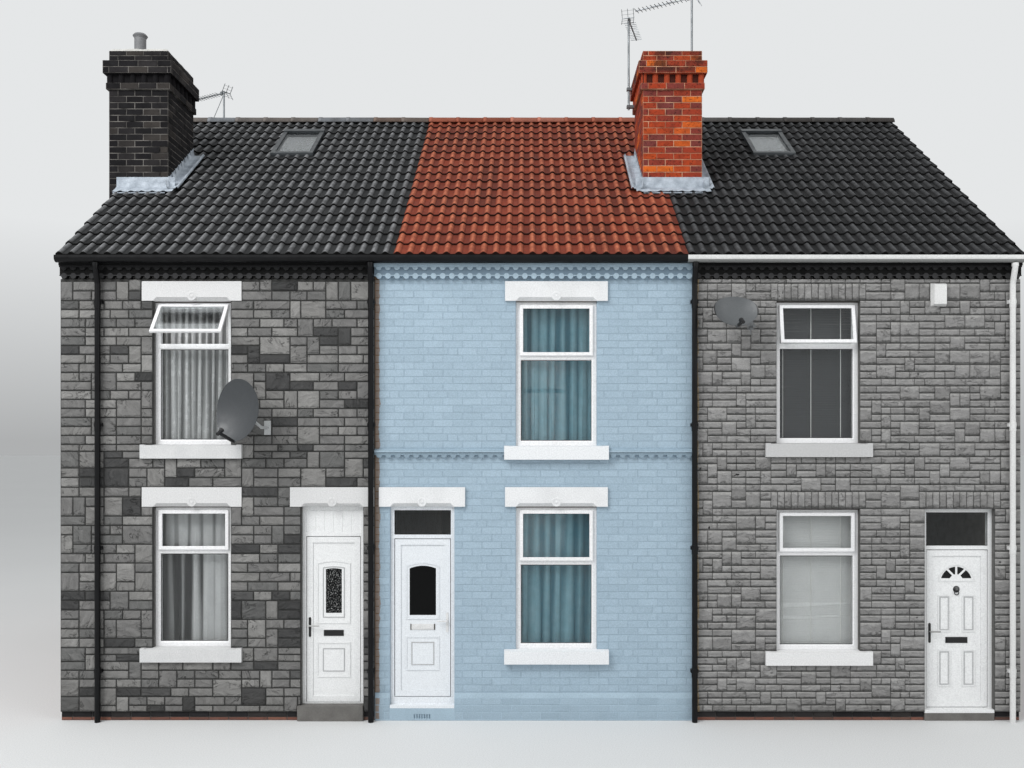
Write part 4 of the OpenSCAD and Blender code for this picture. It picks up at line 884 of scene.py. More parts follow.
def lay_tiles(tree: Tree, given: dict[str, Wire]) -> Wire:
    """Sets tiles in columns and courses on the plane, each a little out of true."""
    columns, courses = given["Columns"], given["Courses"]
    grid = tree.node("GeometryNodeMeshGrid", {
        "Size X": (columns - 1) * given["Width"], "Size Y": (courses - 1) * given["Gauge"],
        "Vertices X": columns, "Vertices Y": courses})
    tip, swing = jitter(tree, given, 1.0, 0), jitter(tree, given, 0.4, 1)
    return set_out(tree, given, grid, tree.joined(tip, tip * 0.6, swing))


def lay_row(tree: Tree, given: dict[str, Wire]) -> Wire:
    """Sets copies along a line, each a little out of true."""
    line = tree.node("GeometryNodeMeshLine", {
        "Count": given["Count"], "Start Location": given["Start"], "Offset": given["Step"]},
        mode="OFFSET")
    tip, drop = jitter(tree, given, 1.0, 0), jitter(tree, given, 1.0, 1)
    return set_out(tree, given, line, tree.joined(tip, drop * 0.5, tip * 0.4))


BLOCKS = Recipe("laid_blocks", {
    "Block": "Object", "Bevel": "Float", "Relief": "Float", "Relief Scale": "Float",
    "Wobble": "Float", "Seed": "Int", "Soft": "Bool", "Material": "Material"}, lay_blocks)
COPIED = {"Copy": "Object", "Jitter": "Float", "Seed": "Int", "Material": "Material"}
TILES = Recipe("laid_tiles", {
    "Columns": "Int", "Courses": "Int", "Width": "Float", "Gauge": "Float", **COPIED}, lay_tiles)
ROWS = Recipe("laid_row", {"Count": "Int", "Start": "Vector", "Step": "Vector", **COPIED}, lay_row)


def block_pattern(across: int, up: int) -> bpy.types.Object:
    """A unit block whose arrises follow an attribute.

    Args:
        across: cells of the face along the block.
        up: cells of the face up the block.

    Returns:
        The block, one wide, one high, and one deep towards -Y.
    """
    def inward(place: float) -> float:
        """Which way a bevel moves a point, from its place across the block."""
        return -math.copysign(1, place) if abs(place) == 0.5 else 0.0

    cells = [(c, r) for r in range(up + 1) for c in range(across + 1)]
    grid = {cell: number for number, cell in enumerate(cells)}
    points = [(c / across - 0.5, -1.0, r / up - 0.5) for c, r in cells]
    insets = [(inward(x), 0.0, inward(z)) for x, _, z in points]
    faces = [(grid[c, r], grid[c + 1, r], grid[c + 1, r + 1], grid[c, r + 1])
             for r in range(up) for c in range(across)]
    inner = [grid[cell] for cell in (
        *((c, 0) for c in range(across)), *((across, r) for r in range(up)),
        *((c, up) for c in range(across, 0, -1)), *((0, r) for r in range(up, 0, -1)))]
    count = len(inner)
    shoulder = [len(points) + i for i in range(count)]
    back = [i + count for i in shoulder]
    points += [points[i] for i in inner] + [(points[i][0], 0.0, points[i][2]) for i in inner]
    insets += [(0.0, 1.0, 0.0)] * count + [(0.0, 0.0, 0.0)] * count
    for here, there in ((inner, shoulder), (shoulder, back)):
        faces += [(here[i], there[i], there[j], here[j])
                  for i, j in ((i, (i + 1) % count) for i in range(count))]
    mesh = surface("block_pattern", points, [*faces, tuple(reversed(back))])
    everywhere = range(len(points))
    store(mesh, "inset", insets)
    store(mesh, "face", [0.35 if i in inner else float(i < len(cells)) for i in everywhere])
    # rise: how far up the block a point is; the stones' painted shadow at the foot and painted
    # highlight at the top follow it.
    store(mesh, "rise", [z + 0.5 for _, _, z in points])
    store(mesh, "rim", [float(i in inner or i in shoulder) for i in everywhere])
    return bpy.data.objects.new("block_pattern", mesh)


@dataclass(frozen=True)
class Face:
    """An upright plane that blocks are laid on: u runs along it, z up."""

    x: float = 0.0
    y: float = 0.0
    turn: float = 0.0

    def at(self, u: float, z: float) -> Vector:
        """The point at u and z."""
        along = Vector((math.cos(self.turn) * u, math.sin(self.turn) * u, z))
        return Vector((self.x, self.y, 0)) + along


@dataclass
class Blocks:
    """Blocks that wait to be laid: where each is, its size, its turn and its tone."""

    seed: int
    points: list[Vector] = field(default_factory=list)
    sizes: list[Point] = field(default_factory=list)
    turns: list[float] = field(default_factory=list)
    tones: list[float] = field(default_factory=list)

    def __post_init__(self) -> None:
        """Starts the fixed run of chances."""
        self.chances = random.Random(self.seed)

    def add(self, face: Face, rect: Rect, depth: float, joint: float) -> None:
        """Adds a block that fills a rectangle less half a joint all round."""
        left, right, low, high = rect
        if right - left < 2.5 * joint or high - low < 2 * joint:
            return
        self.points.append(face.at((left + right) / 2, (low + high) / 2))
        self.sizes.append((right - left - joint, depth, high - low - joint))
        self.turns.append(face.turn)
        self.tones.append(self.chances.random())

    def lay(self, name: str, pattern: bpy.types.Object, finish: Finish,
            **values: Value) -> bpy.types.Mesh:
        """Lays the blocks by the Geometry Nodes tree.

        Args:
            name: the mesh's name.
            pattern: the unit block.
            finish: the blocks' finish.
            values: the tree's other inputs, with _ for a space.

        Returns:
            The mesh of all the blocks.
        """
        source = surface(name + "_points", self.points)
        for label, numbers in (("size", self.sizes), ("turn", self.turns), ("tone", self.tones)):
            store(source, label, numbers)
        plain = {"Bevel": 0.003, "Relief": 0.0, "Relief_Scale": 8.0, "Wobble": 0.0, "Soft": False}
        return BLOCKS.cook(name, finish, source, Block=pattern, Seed=self.seed,
                           **{**plain, **values})


def free_runs(rect: Rect, gaps: Sequence[Rect], least: float = 0.012) -> list[Rect]:
    """What is left of one course between openings.

    Args:
        rect: the course.
        gaps: the openings.
        least: the lowest strip that is kept over or under an opening.

    Returns:
        The stretches of it that are clear, each with its own height.
    """
    left, right, low, high = rect
    edges = sorted({left, right, *(e for g in gaps for e in g[:2] if left < e < right)})
    runs: list[Rect] = []
    for a, b in pairwise(edges):
        spans = [(low, high)]
        for x0, x1, z0, z1 in gaps:
            if x0 < (a + b) / 2 < x1:
                spans = [part for s in spans
                         for part in ((s[0], min(s[1], z0)), (max(s[0], z1), s[1]))
                         if part[1] - part[0] > least]
        if not spans:
            continue
        span = max(spans, key=lambda s: s[1] - s[0])
        if runs and runs[-1][1:] == (a, *span):
            a = runs.pop()[0]
        runs.append((a, b, *span))
    return runs


@dataclass(frozen=True)
class Bond:
    """How bricks are laid: their pitch along and up, and which courses have headers."""

    length: float = 0.239
    height: float = 0.088
    header_every: int = 6
    joint: float = 0.010
    least: float = 0.045

    def joints(self, row: int, left: float, right: float) -> list[float]:
        """The places of the upright joints of a course.

        Args:
            row: the course's number.
            left: where the stretch starts.
            right: where it ends.

        Returns:
            The joints from left to right, with both ends.
        """
        steps = [self.length]
        shift = (row % 2) * self.length / 2
        if self.header_every and row % self.header_every == self.header_every - 1:
            steps.append(self.length / 2)
            shift = self.length / 4
        whole = sum(steps)
        place = (math.floor((left - shift) / whole) - 1) * whole + shift
        found = [left]
        k = 0
        while place < right - self.least:
            if place > left + self.least:
                found.append(place)
            place += steps[k % len(steps)]
            k += 1
        return [*found, right]

    def lay(self, blocks: Blocks, face: Face, area: Rect, gaps: Sequence[Rect], depth: float,
            roof: Optional[Callable[[float], float]] = None) -> None:
        """Lays courses over an area.

        Args:
            blocks: what the bricks are added to.
            face: the plane.
            area: left, right, bottom and top on the plane.
            gaps: the openings.
            depth: how far the bricks stand out of the plane.
            roof: the height that bricks stay under, by u.
        """
        left, right, bottom, top = area
        for row in range(math.ceil((top - bottom) / self.height - 0.1)):
            low = bottom + row * self.height
            for x0, x1, z0, z1 in free_runs((left, right, low, min(low + self.height, top)), gaps):
                for a, b in pairwise(self.joints(row, x0, x1)):
                    if roof is None or z1 < min(roof(a), roof(b)):
                        blocks.add(face, (a, b, z0, z1), depth, self.joint)


@dataclass(frozen=True)
class Ashlar:
    """Random-coursed stones: the cells of the setting-out and how many a stone takes."""

    cell: float
    rise: float
    widths: tuple[int, ...]
    joint: float
    depth: float
    spread: float
    heights: tuple[int, ...] = (1, 1, 1, 2)
    tall_widths: tuple[int, ...] = (2, 2, 3, 4)
    soldier_w: float = 0.08
    merge: float = 0.02

    def lines(self, low: float, high: float, marks: Iterable[float], step: float) -> list[float]:
        """Setting-out lines that pass through every mark."""
        fixed = sorted({round(m, 4) for m in (low, high, *marks) if low <= m <= high})
        kept = [fixed[0]]
        for mark in fixed[1:]:
            if mark - kept[-1] > self.merge:
                kept.append(mark)
        kept[-1] = fixed[-1]
        found = [kept[0]]
        for a, b in pairwise(kept):
            parts = max(1, round((b - a) / step))
            found += [a + (b - a) * (i + 1) / parts for i in range(parts)]
        return found

    def add(self, blocks: Blocks, face: Face, rect: Rect) -> None:
        """Adds a stone, a little more or less proud than the next."""
        depth = self.depth + blocks.chances.uniform(-1, 1) * self.spread
        blocks.add(face, rect, depth, self.joint)

    def lay(self, blocks: Blocks, face: Face, area: Rect, gaps: Sequence[Rect],
            soldiers: Sequence[Rect] = ()) -> None:
        """Fills an area with stones, clear of its openings.

        Args:
            blocks: what the stones are added to.
            face: the plane.
            area: left, right, bottom and top on the plane.
            gaps: the openings.
            soldiers: stretches of upright stones.
        """
        left, right, bottom, top = area
        shut = [*gaps, *soldiers]
        xs = self.lines(left, right, (e for g in shut for e in g[:2]), self.cell)
        zs = self.lines(bottom, top, (e for g in shut for e in g[2:]), self.rise)
        columns, rows = len(xs) - 1, len(zs) - 1
        taken = {(i, j) for i in range(columns) for j in range(rows)
                 if any(g[0] < (xs[i] + xs[i + 1]) / 2 < g[1]
                        and g[2] < (zs[j] + zs[j + 1]) / 2 < g[3] for g in shut)}
        for j in range(rows):
            for i in range(columns):
                if (i, j) in taken:
                    continue
                high, tall = blocks.chances.choice(self.heights), 1
                while tall < high and j + tall < rows and (i, j + tall) not in taken:
                    tall += 1
                wide = blocks.chances.choice(self.widths if tall == 1 else self.tall_widths)
                free = lambda at: at < columns and not taken & {(at, j + k) for k in range(tall)}
                span = 1
                while span < wide and free(i + span):
                    span += 1
                if free(i + span) and not free(i + span + 1):
                    span += 1
                taken |= {(i + a, j + b) for a in range(span) for b in range(tall)}
                self.add(blocks, face, (xs[i], xs[i + span], zs[j], zs[j + tall]))
        for start, end, low, high in soldiers:
            count = max(1, round((end - start) / self.soldier_w))
            step = (end - start) / count
            for k in range(count):
                self.add(blocks, face, (start + k * step, start + (k + 1) * step, low, high))


def moulding_shade_lines() -> tuple[Zone, ...]:
    """Painted shade in the narrow steps of each front door's mouldings."""
    leaves = ((-3.0, -2.2, -4.069), (-1.95, -0.9, -4.084), (4.7, 5.6, -4.079))
    half = 0.0007
    return tuple(Zone("b7b8b9", x=(left, right), y=(face - step - half, face - step + half))
                 for left, right, face in leaves for step in (0.002, 0.006))


DENTILS = (8.393, 8.522)


class Shades:
    """Every finish of the row."""

    BLUE = BlockFinish(
        "painted_brick_blue", "9fb4c3", "93a7b5", 0.35, 1.6, 0.5, 0.1, 0.45, 120.0,
        tones=((0.0, "9bb0bf"), (0.5, "9fb4c3"), (1.0, "a3b8c7")), vein=0.04, vein_scale=40.0,
        foot_grime=0.12, edge_x=-1.975, edge_colour="8a7059")
    BLUE_WALL = WallFinish(
        "painted_joints_blue", "9aaebd", "8da1af", 0.4, 3.0, 0.55, face_y=-4.145, foot_grime=0.12,
        painted=(-1.975, 1.872), strip="7d6248")
    # Blue paint; its zones paint shade on the recessed ground behind the eaves band's and string
    # course's roundels.
    BLUE_TRIM = ZonedFinish(
        "painted_mouldings_blue", "a3b8c6", "8b9fad", 0.4, 3.0, 0.5, grain=0.2, zones=(
            Zone("6f8494", y=(-4.207, -4.19), z=(5.44, 5.55)),
            Zone("8296a4", y=(-4.195, -4.18), z=(3.2, 3.32))))
    RED_BRICK = BlockFinish(
        "red_brown_brick", "7d4a3a", "4b2f28", 0.4, 6.0, 0.85, 0.1, 0.5, 160.0,
        tones=((0.0, "5e3a30"), (0.3, "7a4637"), (0.6, "8a5140"), (0.85, "96604a"),
               (1.0, "6b4a3f")), vein=0.35, vein_scale=60.0, foot_grime=0.35)
    BLACK_BRICK = BlockFinish(
        "sooted_brick", "232123", "111012", 0.5, 5.0, 0.85, 0.1, 0.5, 150.0,
        tones=((0.0, "121113"), (0.4, "1a191b"), (0.75, "272526"), (1.0, "3b3734")),
        vein=0.4, vein_scale=50.0, shine=0.15)
    ORANGE_BRICK = BlockFinish(
        "orange_stock_brick", "93391f", "4f221a", 0.5, 9.0, 0.85, 0.1, 0.7, 90.0,
        tones=((0.0, "733733"), (0.22, "82352b"), (0.4, "963722"), (0.65, "a43c1d"),
               (0.85, "b4481d"), (1.0, "dc6c20")),
        vein=0.5, vein_scale=38.0, dent=0.008, shine=0.25, sooty_above=8.5)
    BASE_BRICK = BlockFinish(
        "black_base_brick", "262527", "151416", 0.4, 6.0, 0.7,
        tones=((0.0, "161517"), (0.6, "222123"), (1.0, "302d2c")), shine=0.25)
    MORTAR = Finish("old_mortar", "8d877c", "6e675e", 0.6, 8.0, 0.95, 0.04, 0.7, 220.0)
    SOOT_MORTAR = ZonedFinish(
        "sooted_mortar", "76736f", "131313", 1.0, 5.0, 0.95, 0.04, 0.7, 220.0,
        zones=(Zone("151416", z=DENTILS),), shine=0.15)
    # The right stack's mortar; its first zone is the dentils' brick colour, and the other two paint
    # shade on the recess behind the dentils.
    PINK_MORTAR = ZonedFinish(
        "worn_mortar", "c99c7f", "86523c", 1.0, 6.0, 0.95, 0.04, 0.7, 220.0, shine=0.25, zones=(
            Zone("9c3f24", z=DENTILS), Zone("3f1a12", y=(-2.556, -2.54), z=DENTILS),
            Zone("3f1a12", x=(1.44, 1.454), z=DENTILS)))
    FLUE = ZonedFinish(
        "flaunching_and_flue", "c3c2be", "9b9a96", 0.6, 8.0, 0.6, 0.1, 0.6, 120.0,
        zones=(Zone("6f7072", z=(8.94, 9.4)),))
    BACK_WALL = WallFinish(
        "back_wall_joints", "8d877c", "6e675e", 0.6, 8.0, 0.95, 0.04, 0.7, 220.0,
        face_y=4.145, outward=1.0)
    CLAD_WALL = WallFinish(
        "wall_behind_stone", "62605e", "464543", 0.7, 8.0, 0.95, 0.04, 0.7, 220.0, face_y=-4.145)
    LEFT_STONE = StoneFinish(
        "pitted_grey_stone", "757473", "4c4c4c", 0.17, 9.0, 0.85, 0.1, 1.0, 120.0,
        tones=((0.0, "3d3d3d"), (0.15, "494949"), (0.18, "676766"), (0.45, "747372"),
               (0.8, "7d7c7a"), (1.0, "8a8987")),
        vein=0.8, foot_grime=0.15, dent=0.014, ripple=6.5, stretch=2.2, crack=0.02, shine=0.25)
    LEFT_JOINT = Finish(
        "stone_joints_left", "3d3d3c", "323231", 0.6, 9.0, 0.95, 0.04, 0.7, 220.0, shine=0.2)
    RIGHT_STONE = StoneFinish(
        "split_grey_stone", "7c7b79", "626160", 0.15, 11.0, 0.85, 0.1, 1.0, 110.0,
        tones=((0.0, "828180"), (0.5, "8b8a89"), (1.0, "949392")), vein=0.4, foot_grime=0.12,
        edge_x=1.93, edge_colour="94805f", dent=0.014, ripple=8.0, stretch=2.4, crack=0.03,
        under=0.2, slanted=False, shine=0.25)
    RIGHT_JOINT = Finish(
        "stone_joints_right", "5a5a59", "464645", 0.6, 9.0, 0.95, 0.04, 0.7, 220.0, shine=0.2)
    # Tiles: crown is the colour of the rolls, lighter partly with weathering and partly as a
    # painted highlight; the noses take painted shade.
    DARK_TILE = BlockFinish(
        "weathered_dark_tile", "28292a", "1a1b1c", 0.4, 5.0, 0.8, 0.1, 0.5, 140.0,
        tones=((0.0, "1e1f20"), (0.5, "242526"), (1.0, "2c2d2e")),
        vein=0.2, vein_scale=30.0, crown="868789", shine=0.2)
    BLACK_TILE = BlockFinish(
        "newer_dark_tile", "1d1e1f", "141516", 0.4, 5.0, 0.8, 0.1, 0.4, 140.0,
        tones=((0.0, "141516"), (0.5, "19191a"), (1.0, "202122")),
        vein=0.2, vein_scale=30.0, crown="565759", shine=0.2)
    RED_TILE = BlockFinish(
        "red_tile", "63291d", "3a1710", 0.4, 6.0, 0.8, 0.1, 0.5, 140.0,
        tones=((0.0, "60291b"), (0.5, "722f1e"), (1.0, "813824")),
        vein=0.3, vein_scale=26.0, crown="bd6e50", shine=0.25)
    DECK = Finish("roofing_felt_and_battens", "3a3632", "28251f", 0.5, 5.0, 0.9)
    BROWN_RIDGE = BlockFinish(
        "brown_ridge", "5b5450", "3b3633", 0.5, 6.0, 0.8,
        tones=((0.0, "755a4a"), (0.25, "736b65"), (0.5, "797b7e"), (1.0, "83878c")))
    RED_RIDGE = BlockFinish(
        "red_ridge", "8a5142", "6a4034", 0.4, 6.0, 0.8, shine=0.3,
        tones=((0.0, "96523d"), (0.5, "ae6650"), (1.0, "c2806d")))
    DARK_RIDGE = BlockFinish(
        "dark_ridge", "3b3c3d", "262728", 0.5, 6.0, 0.8,
        tones=((0.0, "3a3532"), (0.5, "454240"), (1.0, "5a5755")))
    LEAD = Finish(
        "weathered_lead", "b3bcc6", "848d97", 0.8, 9.0, 0.7, 0.1, 0.8, 16.0, dent=0.02)
    CONCRETE = Finish("screed", "9a968e", "85817a", 0.5, 2.0, 0.9)
    TIMBER = Finish("boards", "8a6a47", "6e5236", 0.6, 4.0, 0.7)
    PLASTER = Finish("plaster", "cfcac0", "bfb9ae", 0.4, 1.5, 0.9)
    BOARD = Finish(
        "black_board", "0b0b0c", "151516", 0.4, 4.0, 0.55, 0.1, 0.15, 60.0, shine=0.3)
    # Black paint on the eaves bands; its zones paint highlights on the discs' faces and shade on
    # the recessed ground behind them.
    BAND = ZonedFinish(
        "black_painted_band", "0b0b0c", "121213", 0.5, 9.0, 0.7, 0.1, 0.5, 60.0, shine=0.15,
        zones=(Zone("343435", y=(-4.216, -4.207)), Zone("222223", y=(-4.226, -4.216)),
               Zone("050505", y=(-4.207, -4.19))))
    RUBBER = Finish("glazing_seal", "0e0e0f", "1b1b1c", 0.3, 9.0, 0.6)
    BLACK_PIPE = Finish(
        "black_plastic", "09090b", "131416", 0.4, 5.0, 0.4, 0.1, 0.1, 80.0, shine=0.2)
    # White plastic; its zone paints shade along the gutter's lower part.
    WHITE_PIPE = ZonedFinish(
        "white_plastic", "dededd", "c6c7c6", 0.4, 3.0, 0.35, 0.1, 0.1, 80.0,
        zones=(Zone("858685", y=(-4.4, -4.23), z=(5.58, 5.62)),))
    WHITE_FRAME = Finish(
        "white_frame", "eeeeef", "e2e3e3", 0.3, 2.0, 0.3, 0.06, 0.02, 60.0, coat=0.2)
    # Doors: the middle door's own tint, and painted shade in the mouldings' steps.
    DOOR = ZonedFinish(
        "white_door", "eaebeb", "dddedf", 0.3, 2.0, 0.3, 0.06, 0.02, 60.0, coat=0.2,
        zones=(Zone("e2e6ea", x=(-1.95, -0.9)), *moulding_shade_lines()))
    LINTEL = ZonedFinish(
        "painted_stone", "e5e6e7", "cdcecf", 0.4, 4.0, 0.6, 0.1, 0.4, 70.0,
        zones=(Zone("d3d3d3", x=(-6.0, -1.97)),))
    SILL = ZonedFinish(
        "painted_sill", "d2d2d2", "bcbebf", 0.4, 4.0, 0.6, 0.1, 0.4, 70.0,
        zones=(Zone("e6e8ea", x=(-1.5, 1.5)), Zone("bebebe", x=(2.0, 5.0), z=(2.0, 4.0)),
               Zone("e3e3e3", x=(2.0, 5.0), z=(0.0, 2.0))))
    # Sealant at the front window heads, darkened as painted shadow under the head.
    SEALANT_AND_SHADOW = Finish("weathered_sealant", "4e463f", "2c2825", 0.7, 9.0, 0.8)
    STEP = Finish(
        "step_stone", "6f6d6a", "52504d", 0.6, 5.0, 0.85, 0.08, 0.6, 90.0)
    DISHES = DishFinish("grey_dishes", "55585b", roughness=0.5, grain=0.05, shells=(
        Shell((-3.570, -4.505, 3.780), (math.radians(-6), 0, math.radians(-22)), 0.097,
              "3c3f42", "b9bbbc"),
        Shell((2.318, -4.435, 4.950), (math.radians(-25), 0, math.radians(4)), 0.085,
              "56595b", "747678")))
    SILVER = ZonedFinish(
        "pale_fittings", "e2e2e2", "c4c4c2", 0.4, 20.0, 0.35, 0.1, 0.1, 120.0, metallic=0.1,
        zones=(Zone("4a463f", x=(-1.7, -1.588)), Zone("4a463f", x=(-1.312, -1.29))))
    STEEL = Finish(
        "dull_steel", "7f8386", "5d6062", 0.5, 9.0, 0.4, 0.1, 0.2, 120.0, metallic=0.7)
    IRON = ZonedFinish(
        "black_iron", "141415", "242324", 0.4, 20.0, 0.4, 0.1, 0.3, 150.0, shine=0.4, zones=(
            Zone("b5b5b3", x=(-3.0, -2.7), y=(-4.2, -4.098)),
            Zone("8c8c8a", x=(4.7, 4.95), y=(-4.2, -4.108)),
            Zone("5c5c5b", x=(5.115, 5.147), z=(1.585, 1.625))))
    WINDOW_METAL = Finish(
        "dark_flashing", "3f4346", "2d3032", 0.5, 8.0, 0.4, 0.1, 0.2, 90.0, metallic=0.4)
    SLAT_PALE = Finish("pale_slats", "d9d9d8", "c9c9c8", 0.4, 6.0, 0.4, 0.1, 0.05)
    SLAT_DARK = Finish(
        "dark_slats", "3a3b3d", "303133", 0.4, 6.0, 0.4, 0.1, 0.05, shine=0.3)
    CORD = Finish("ladder_cords", "ecebe8", "d9d8d4", 0.3, 20.0, 0.8)
    # Cloths: shade is the colour of the painted shade in their folds.
    NET_TEAL = ClothFinish(
        "teal_net", "97c4d2", "66a5b6", 0.5, 4.0, 0.8, weave=Weave.SHEER, deep=0.85,
        shade="0c6378", shine=0.1)
    CURTAIN_GREY = ClothFinish(
        "grey_curtain", "e4e4e4", "c4c4c5", 0.4, 5.0, 0.85, weave=Weave.LINED, deep=0.985,
        shade="080809", shine=0.1)
    LACE = ClothFinish(
        "lace_net", "ffffff", "f2f2f2", 0.3, 5.0, 0.85, weave=Weave.LACE, deep=0.8,
        shade="4c4c4d", shine=0.1)
    PANE = Glazing("window_pane", "fdfefe")
    FLECKED_PANE = Glazing("flecked_pane", "1c1f21", 0.2, 0.004, 0.6)
    BLACK_PANE = Glazing("black_pane", "0a0d10", 0.1, 0.002)
    DARK_PANE = Glazing("obscured_pane", "2c2f31", 0.2, 0.02)


@dataclass
class Roof:
    """Interlocking double-roll tiles on the slopes, and half-round tiles along the ridge."""

    frame: Frame
    gauge: float = 0.310
    lap: float = 0.024
    roll_w: float = 0.092
    roll_h: float = 0.031
    nose: float = 0.025
    thick: float = 0.011
    sunk: float = 0.008
    deck_drop: float = 0.055
    deck_edge: float = 0.109
    ridge_l: float = 0.452
    ridge_lift: float = 0.012
    collar: float = 0.006
    rim: float = 0.02
    jitter: float = 0.006
    ridge_jitter: float = 0.012

    def __post_init__(self) -> None:
        """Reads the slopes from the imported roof."""
        slope = self.frame.box("roof_back")
        self.edge_y, self.ridge_z = slope.high.y, slope.high.z
        self.eaves_z = max(v.co.z for v in self.frame.nodes["roof_back"].data.vertices
                           if v.co.y > self.edge_y - 0.001)
        self.pitch = math.atan2(self.ridge_z - self.eaves_z, self.edge_y)
        length = self.edge_y / math.cos(self.pitch)
        self.courses = round(length / self.gauge)
        self.gauge = length / self.courses

    def height(self, y: float) -> float:
        """The height of the tiles' top at a place across the row."""
        return self.ridge_z - abs(y) * math.tan(self.pitch)

    def tile(self, width: float) -> bpy.types.Object:
        """One tile: its foot at y 0, running up along +Y, its pans' top at z 0 there.

        Args:
            width: the pitch of the columns.

        Returns:
            The tile, to be repeated.
        """
        steps = 5
        pan = width / 2 - self.roll_w
        outline: list[Span] = []
        for x0 in (-width / 2, 0.0):
            outline += [(x0 + self.roll_w * k / steps,
                         self.roll_h * math.sin(math.pi * k / steps) ** 1.2) for k in range(steps)]
            outline += [(x0 + self.roll_w, 0.0), (x0 + self.roll_w + pan * 0.5, -0.0015)]
        outline.append((width / 2, 0.0))
        length = self.gauge + self.lap
        fall = -(self.nose + 0.001) * length / self.gauge
        lines = ((0.0, -self.nose, 0), (0.0, -0.004, 1), (0.005, 0.0, 1), (length, fall, 1),
                 (length, fall - self.thick, 0))
        points = [(x, y, max(z, 0.0) * rolled + drop + min(z, 0.0))
                  for y, drop, rolled in lines for x, z in outline]
        wide, count = len(outline), len(points)
        faces = grid_faces(len(lines), wide)
        faces += [(*range(wide - 1, -1, -1), *range(count - wide, count)),
                  tuple(range(0, count, wide)), tuple(range(count - 1, 0, -wide))]
        mesh = surface("tile_pattern", points, faces, outward=True)
        # The crown attribute: the roll's height, which carries a painted highlight on the rolls,
        # and -1 on the nose face, which carries painted shade.
        store(mesh, "crown", [-1.0 if i < 2 else max(z, 0.0) / self.roll_h
                              for i in range(len(lines)) for _, z in outline])
        return bpy.data.objects.new("tile_pattern", mesh)

    def slope(self, name: str, area: Box, columns: int, finish: Finish, seed: int,
              back: bool = False) -> bpy.types.Mesh:
        """The tiles of one house's slope.

        Args:
            name: the mesh's name.
            area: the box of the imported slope.
            columns: how many tiles lie side by side.
            finish: their finish.
            seed: the seed of their unevenness.
            back: whether it is the slope behind.

        Returns:
            The tiles in place.
        """
        x0, x1 = area.low.x, area.high.x
        width = (x1 - x0) / columns
        made = TILES.cook(name, finish, Copy=self.tile(width), Columns=columns, Width=width,
                          Courses=self.courses, Gauge=self.gauge, Jitter=self.jitter, Seed=seed)
        lift = (self.courses - 1) * self.gauge / 2
        made.transform(Matrix.Translation(((x0 + x1) / 2, 0, 0))
                       @ (Matrix.Rotation(math.pi, 4, "Z") if back else Matrix.Identity(4))
                       @ Matrix.Translation((0, -self.edge_y, self.eaves_z))
                       @ Matrix.Rotation(self.pitch, 4, "X")
                       @ Matrix.Translation((0, lift, -self.sunk)))
        return made

    def cleared(self, mesh: bpy.types.Mesh, window: Box) -> None:
        """Cuts the tiles away where a roof window lies.

        Args:
            mesh: the tiles of a front slope.
            window: the box of the roof window.
        """
        up = Vector((0, math.cos(self.pitch), math.sin(self.pitch)))
        edge = Vector((0, -self.edge_y, self.eaves_z))
        low, high = ((Vector((0, y, self.height(y))) - edge).dot(up)
                     for y in (window.low.y, window.high.y))
        low, high = low + self.rim, high - self.rim * 2
        left, right = window.low.x + self.rim, window.high.x - self.rim

        def near(face: bmesh.types.BMFace, slack: float = 0.0) -> bool:
            """Whether a face lies over the window."""
            at = face.calc_center_median()
            return (left - slack < at.x < right + slack
                    and low - slack < (at - edge).dot(up) < high + slack)

        across = Vector((1, 0, 0))
        with opened(mesh) as edited:
            for point, normal in ((across * left, across), (across * right, across),
                                  (edge + up * low, up), (edge + up * high, up)):
                faces = [f for f in edited.faces if near(f, 0.4)]
                parts = {*faces, *(e for f in faces for e in f.edges),
                         *(v for f in faces for v in f.verts)}
                bmesh.ops.bisect_plane(edited, geom=list(parts), plane_co=point, plane_no=normal)
            bmesh.ops.delete(edited, geom=[f for f in edited.faces if near(f)], context="FACES")

    def deck(self, node: str, name: str) -> None:
        """The slab under the tiles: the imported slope, lowered by the tiles' thickness.

        Args:
            node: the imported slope.
            name: the piece's name.
        """
        side = -1 if node != "roof_back" else 1
        mesh = surface(node + "_deck", (), (), Shades.DECK)
        with opened(mesh) as edited:
            edited.from_mesh(self.frame.nodes[node].data)
            bmesh.ops.remove_doubles(edited, verts=edited.verts, dist=0.0002)
            bmesh.ops.bisect_plane(
                edited, geom=[*edited.verts, *edited.edges, *edited.faces], clear_outer=True,
                plane_co=(0, side * (self.edge_y - self.deck_edge), 0), plane_no=(0, side, 0))
            bmesh.ops.contextual_create(edited, geom=[e for e in edited.edges if e.is_boundary])
            for vert in edited.verts:
                if vert.co.z > self.height(vert.co.y) - 0.01:
                    vert.co.z -= self.deck_drop
            bmesh.ops.recalc_face_normals(edited, faces=edited.faces)
        piece(name, mesh, "timber", (node,))

    def ridge_tile(self, radius: float) -> bpy.types.Object:
        """One half-round ridge tile, with its collar over the next one."""
        steps, collar = 12, radius + self.collar
        rings = ((0.0, collar), (0.055, collar), (0.056, radius), (self.ridge_l, radius - 0.002),
                 (self.ridge_l, radius - 0.017), (0.0, radius - 0.012))
        turns = [math.radians(8 + 164 * k / steps) for k in range(steps + 1)]
        points = [(x, -r * math.cos(a), r * math.sin(a)) for x, r in rings for a in turns]
        wide, count = len(turns), len(points)
        faces = [(i, (i + wide) % count, (i + wide) % count + 1, i + 1)
                 for start in range(0, count, wide) for i in range(start, start + steps)]
        faces += [tuple(range(0, count, wide)), tuple(range(count - 1, 0, -wide))]
        mesh = surface("ridge_pattern", points, faces, outward=True)
        smooth(mesh)
        return bpy.data.objects.new("ridge_pattern", mesh)

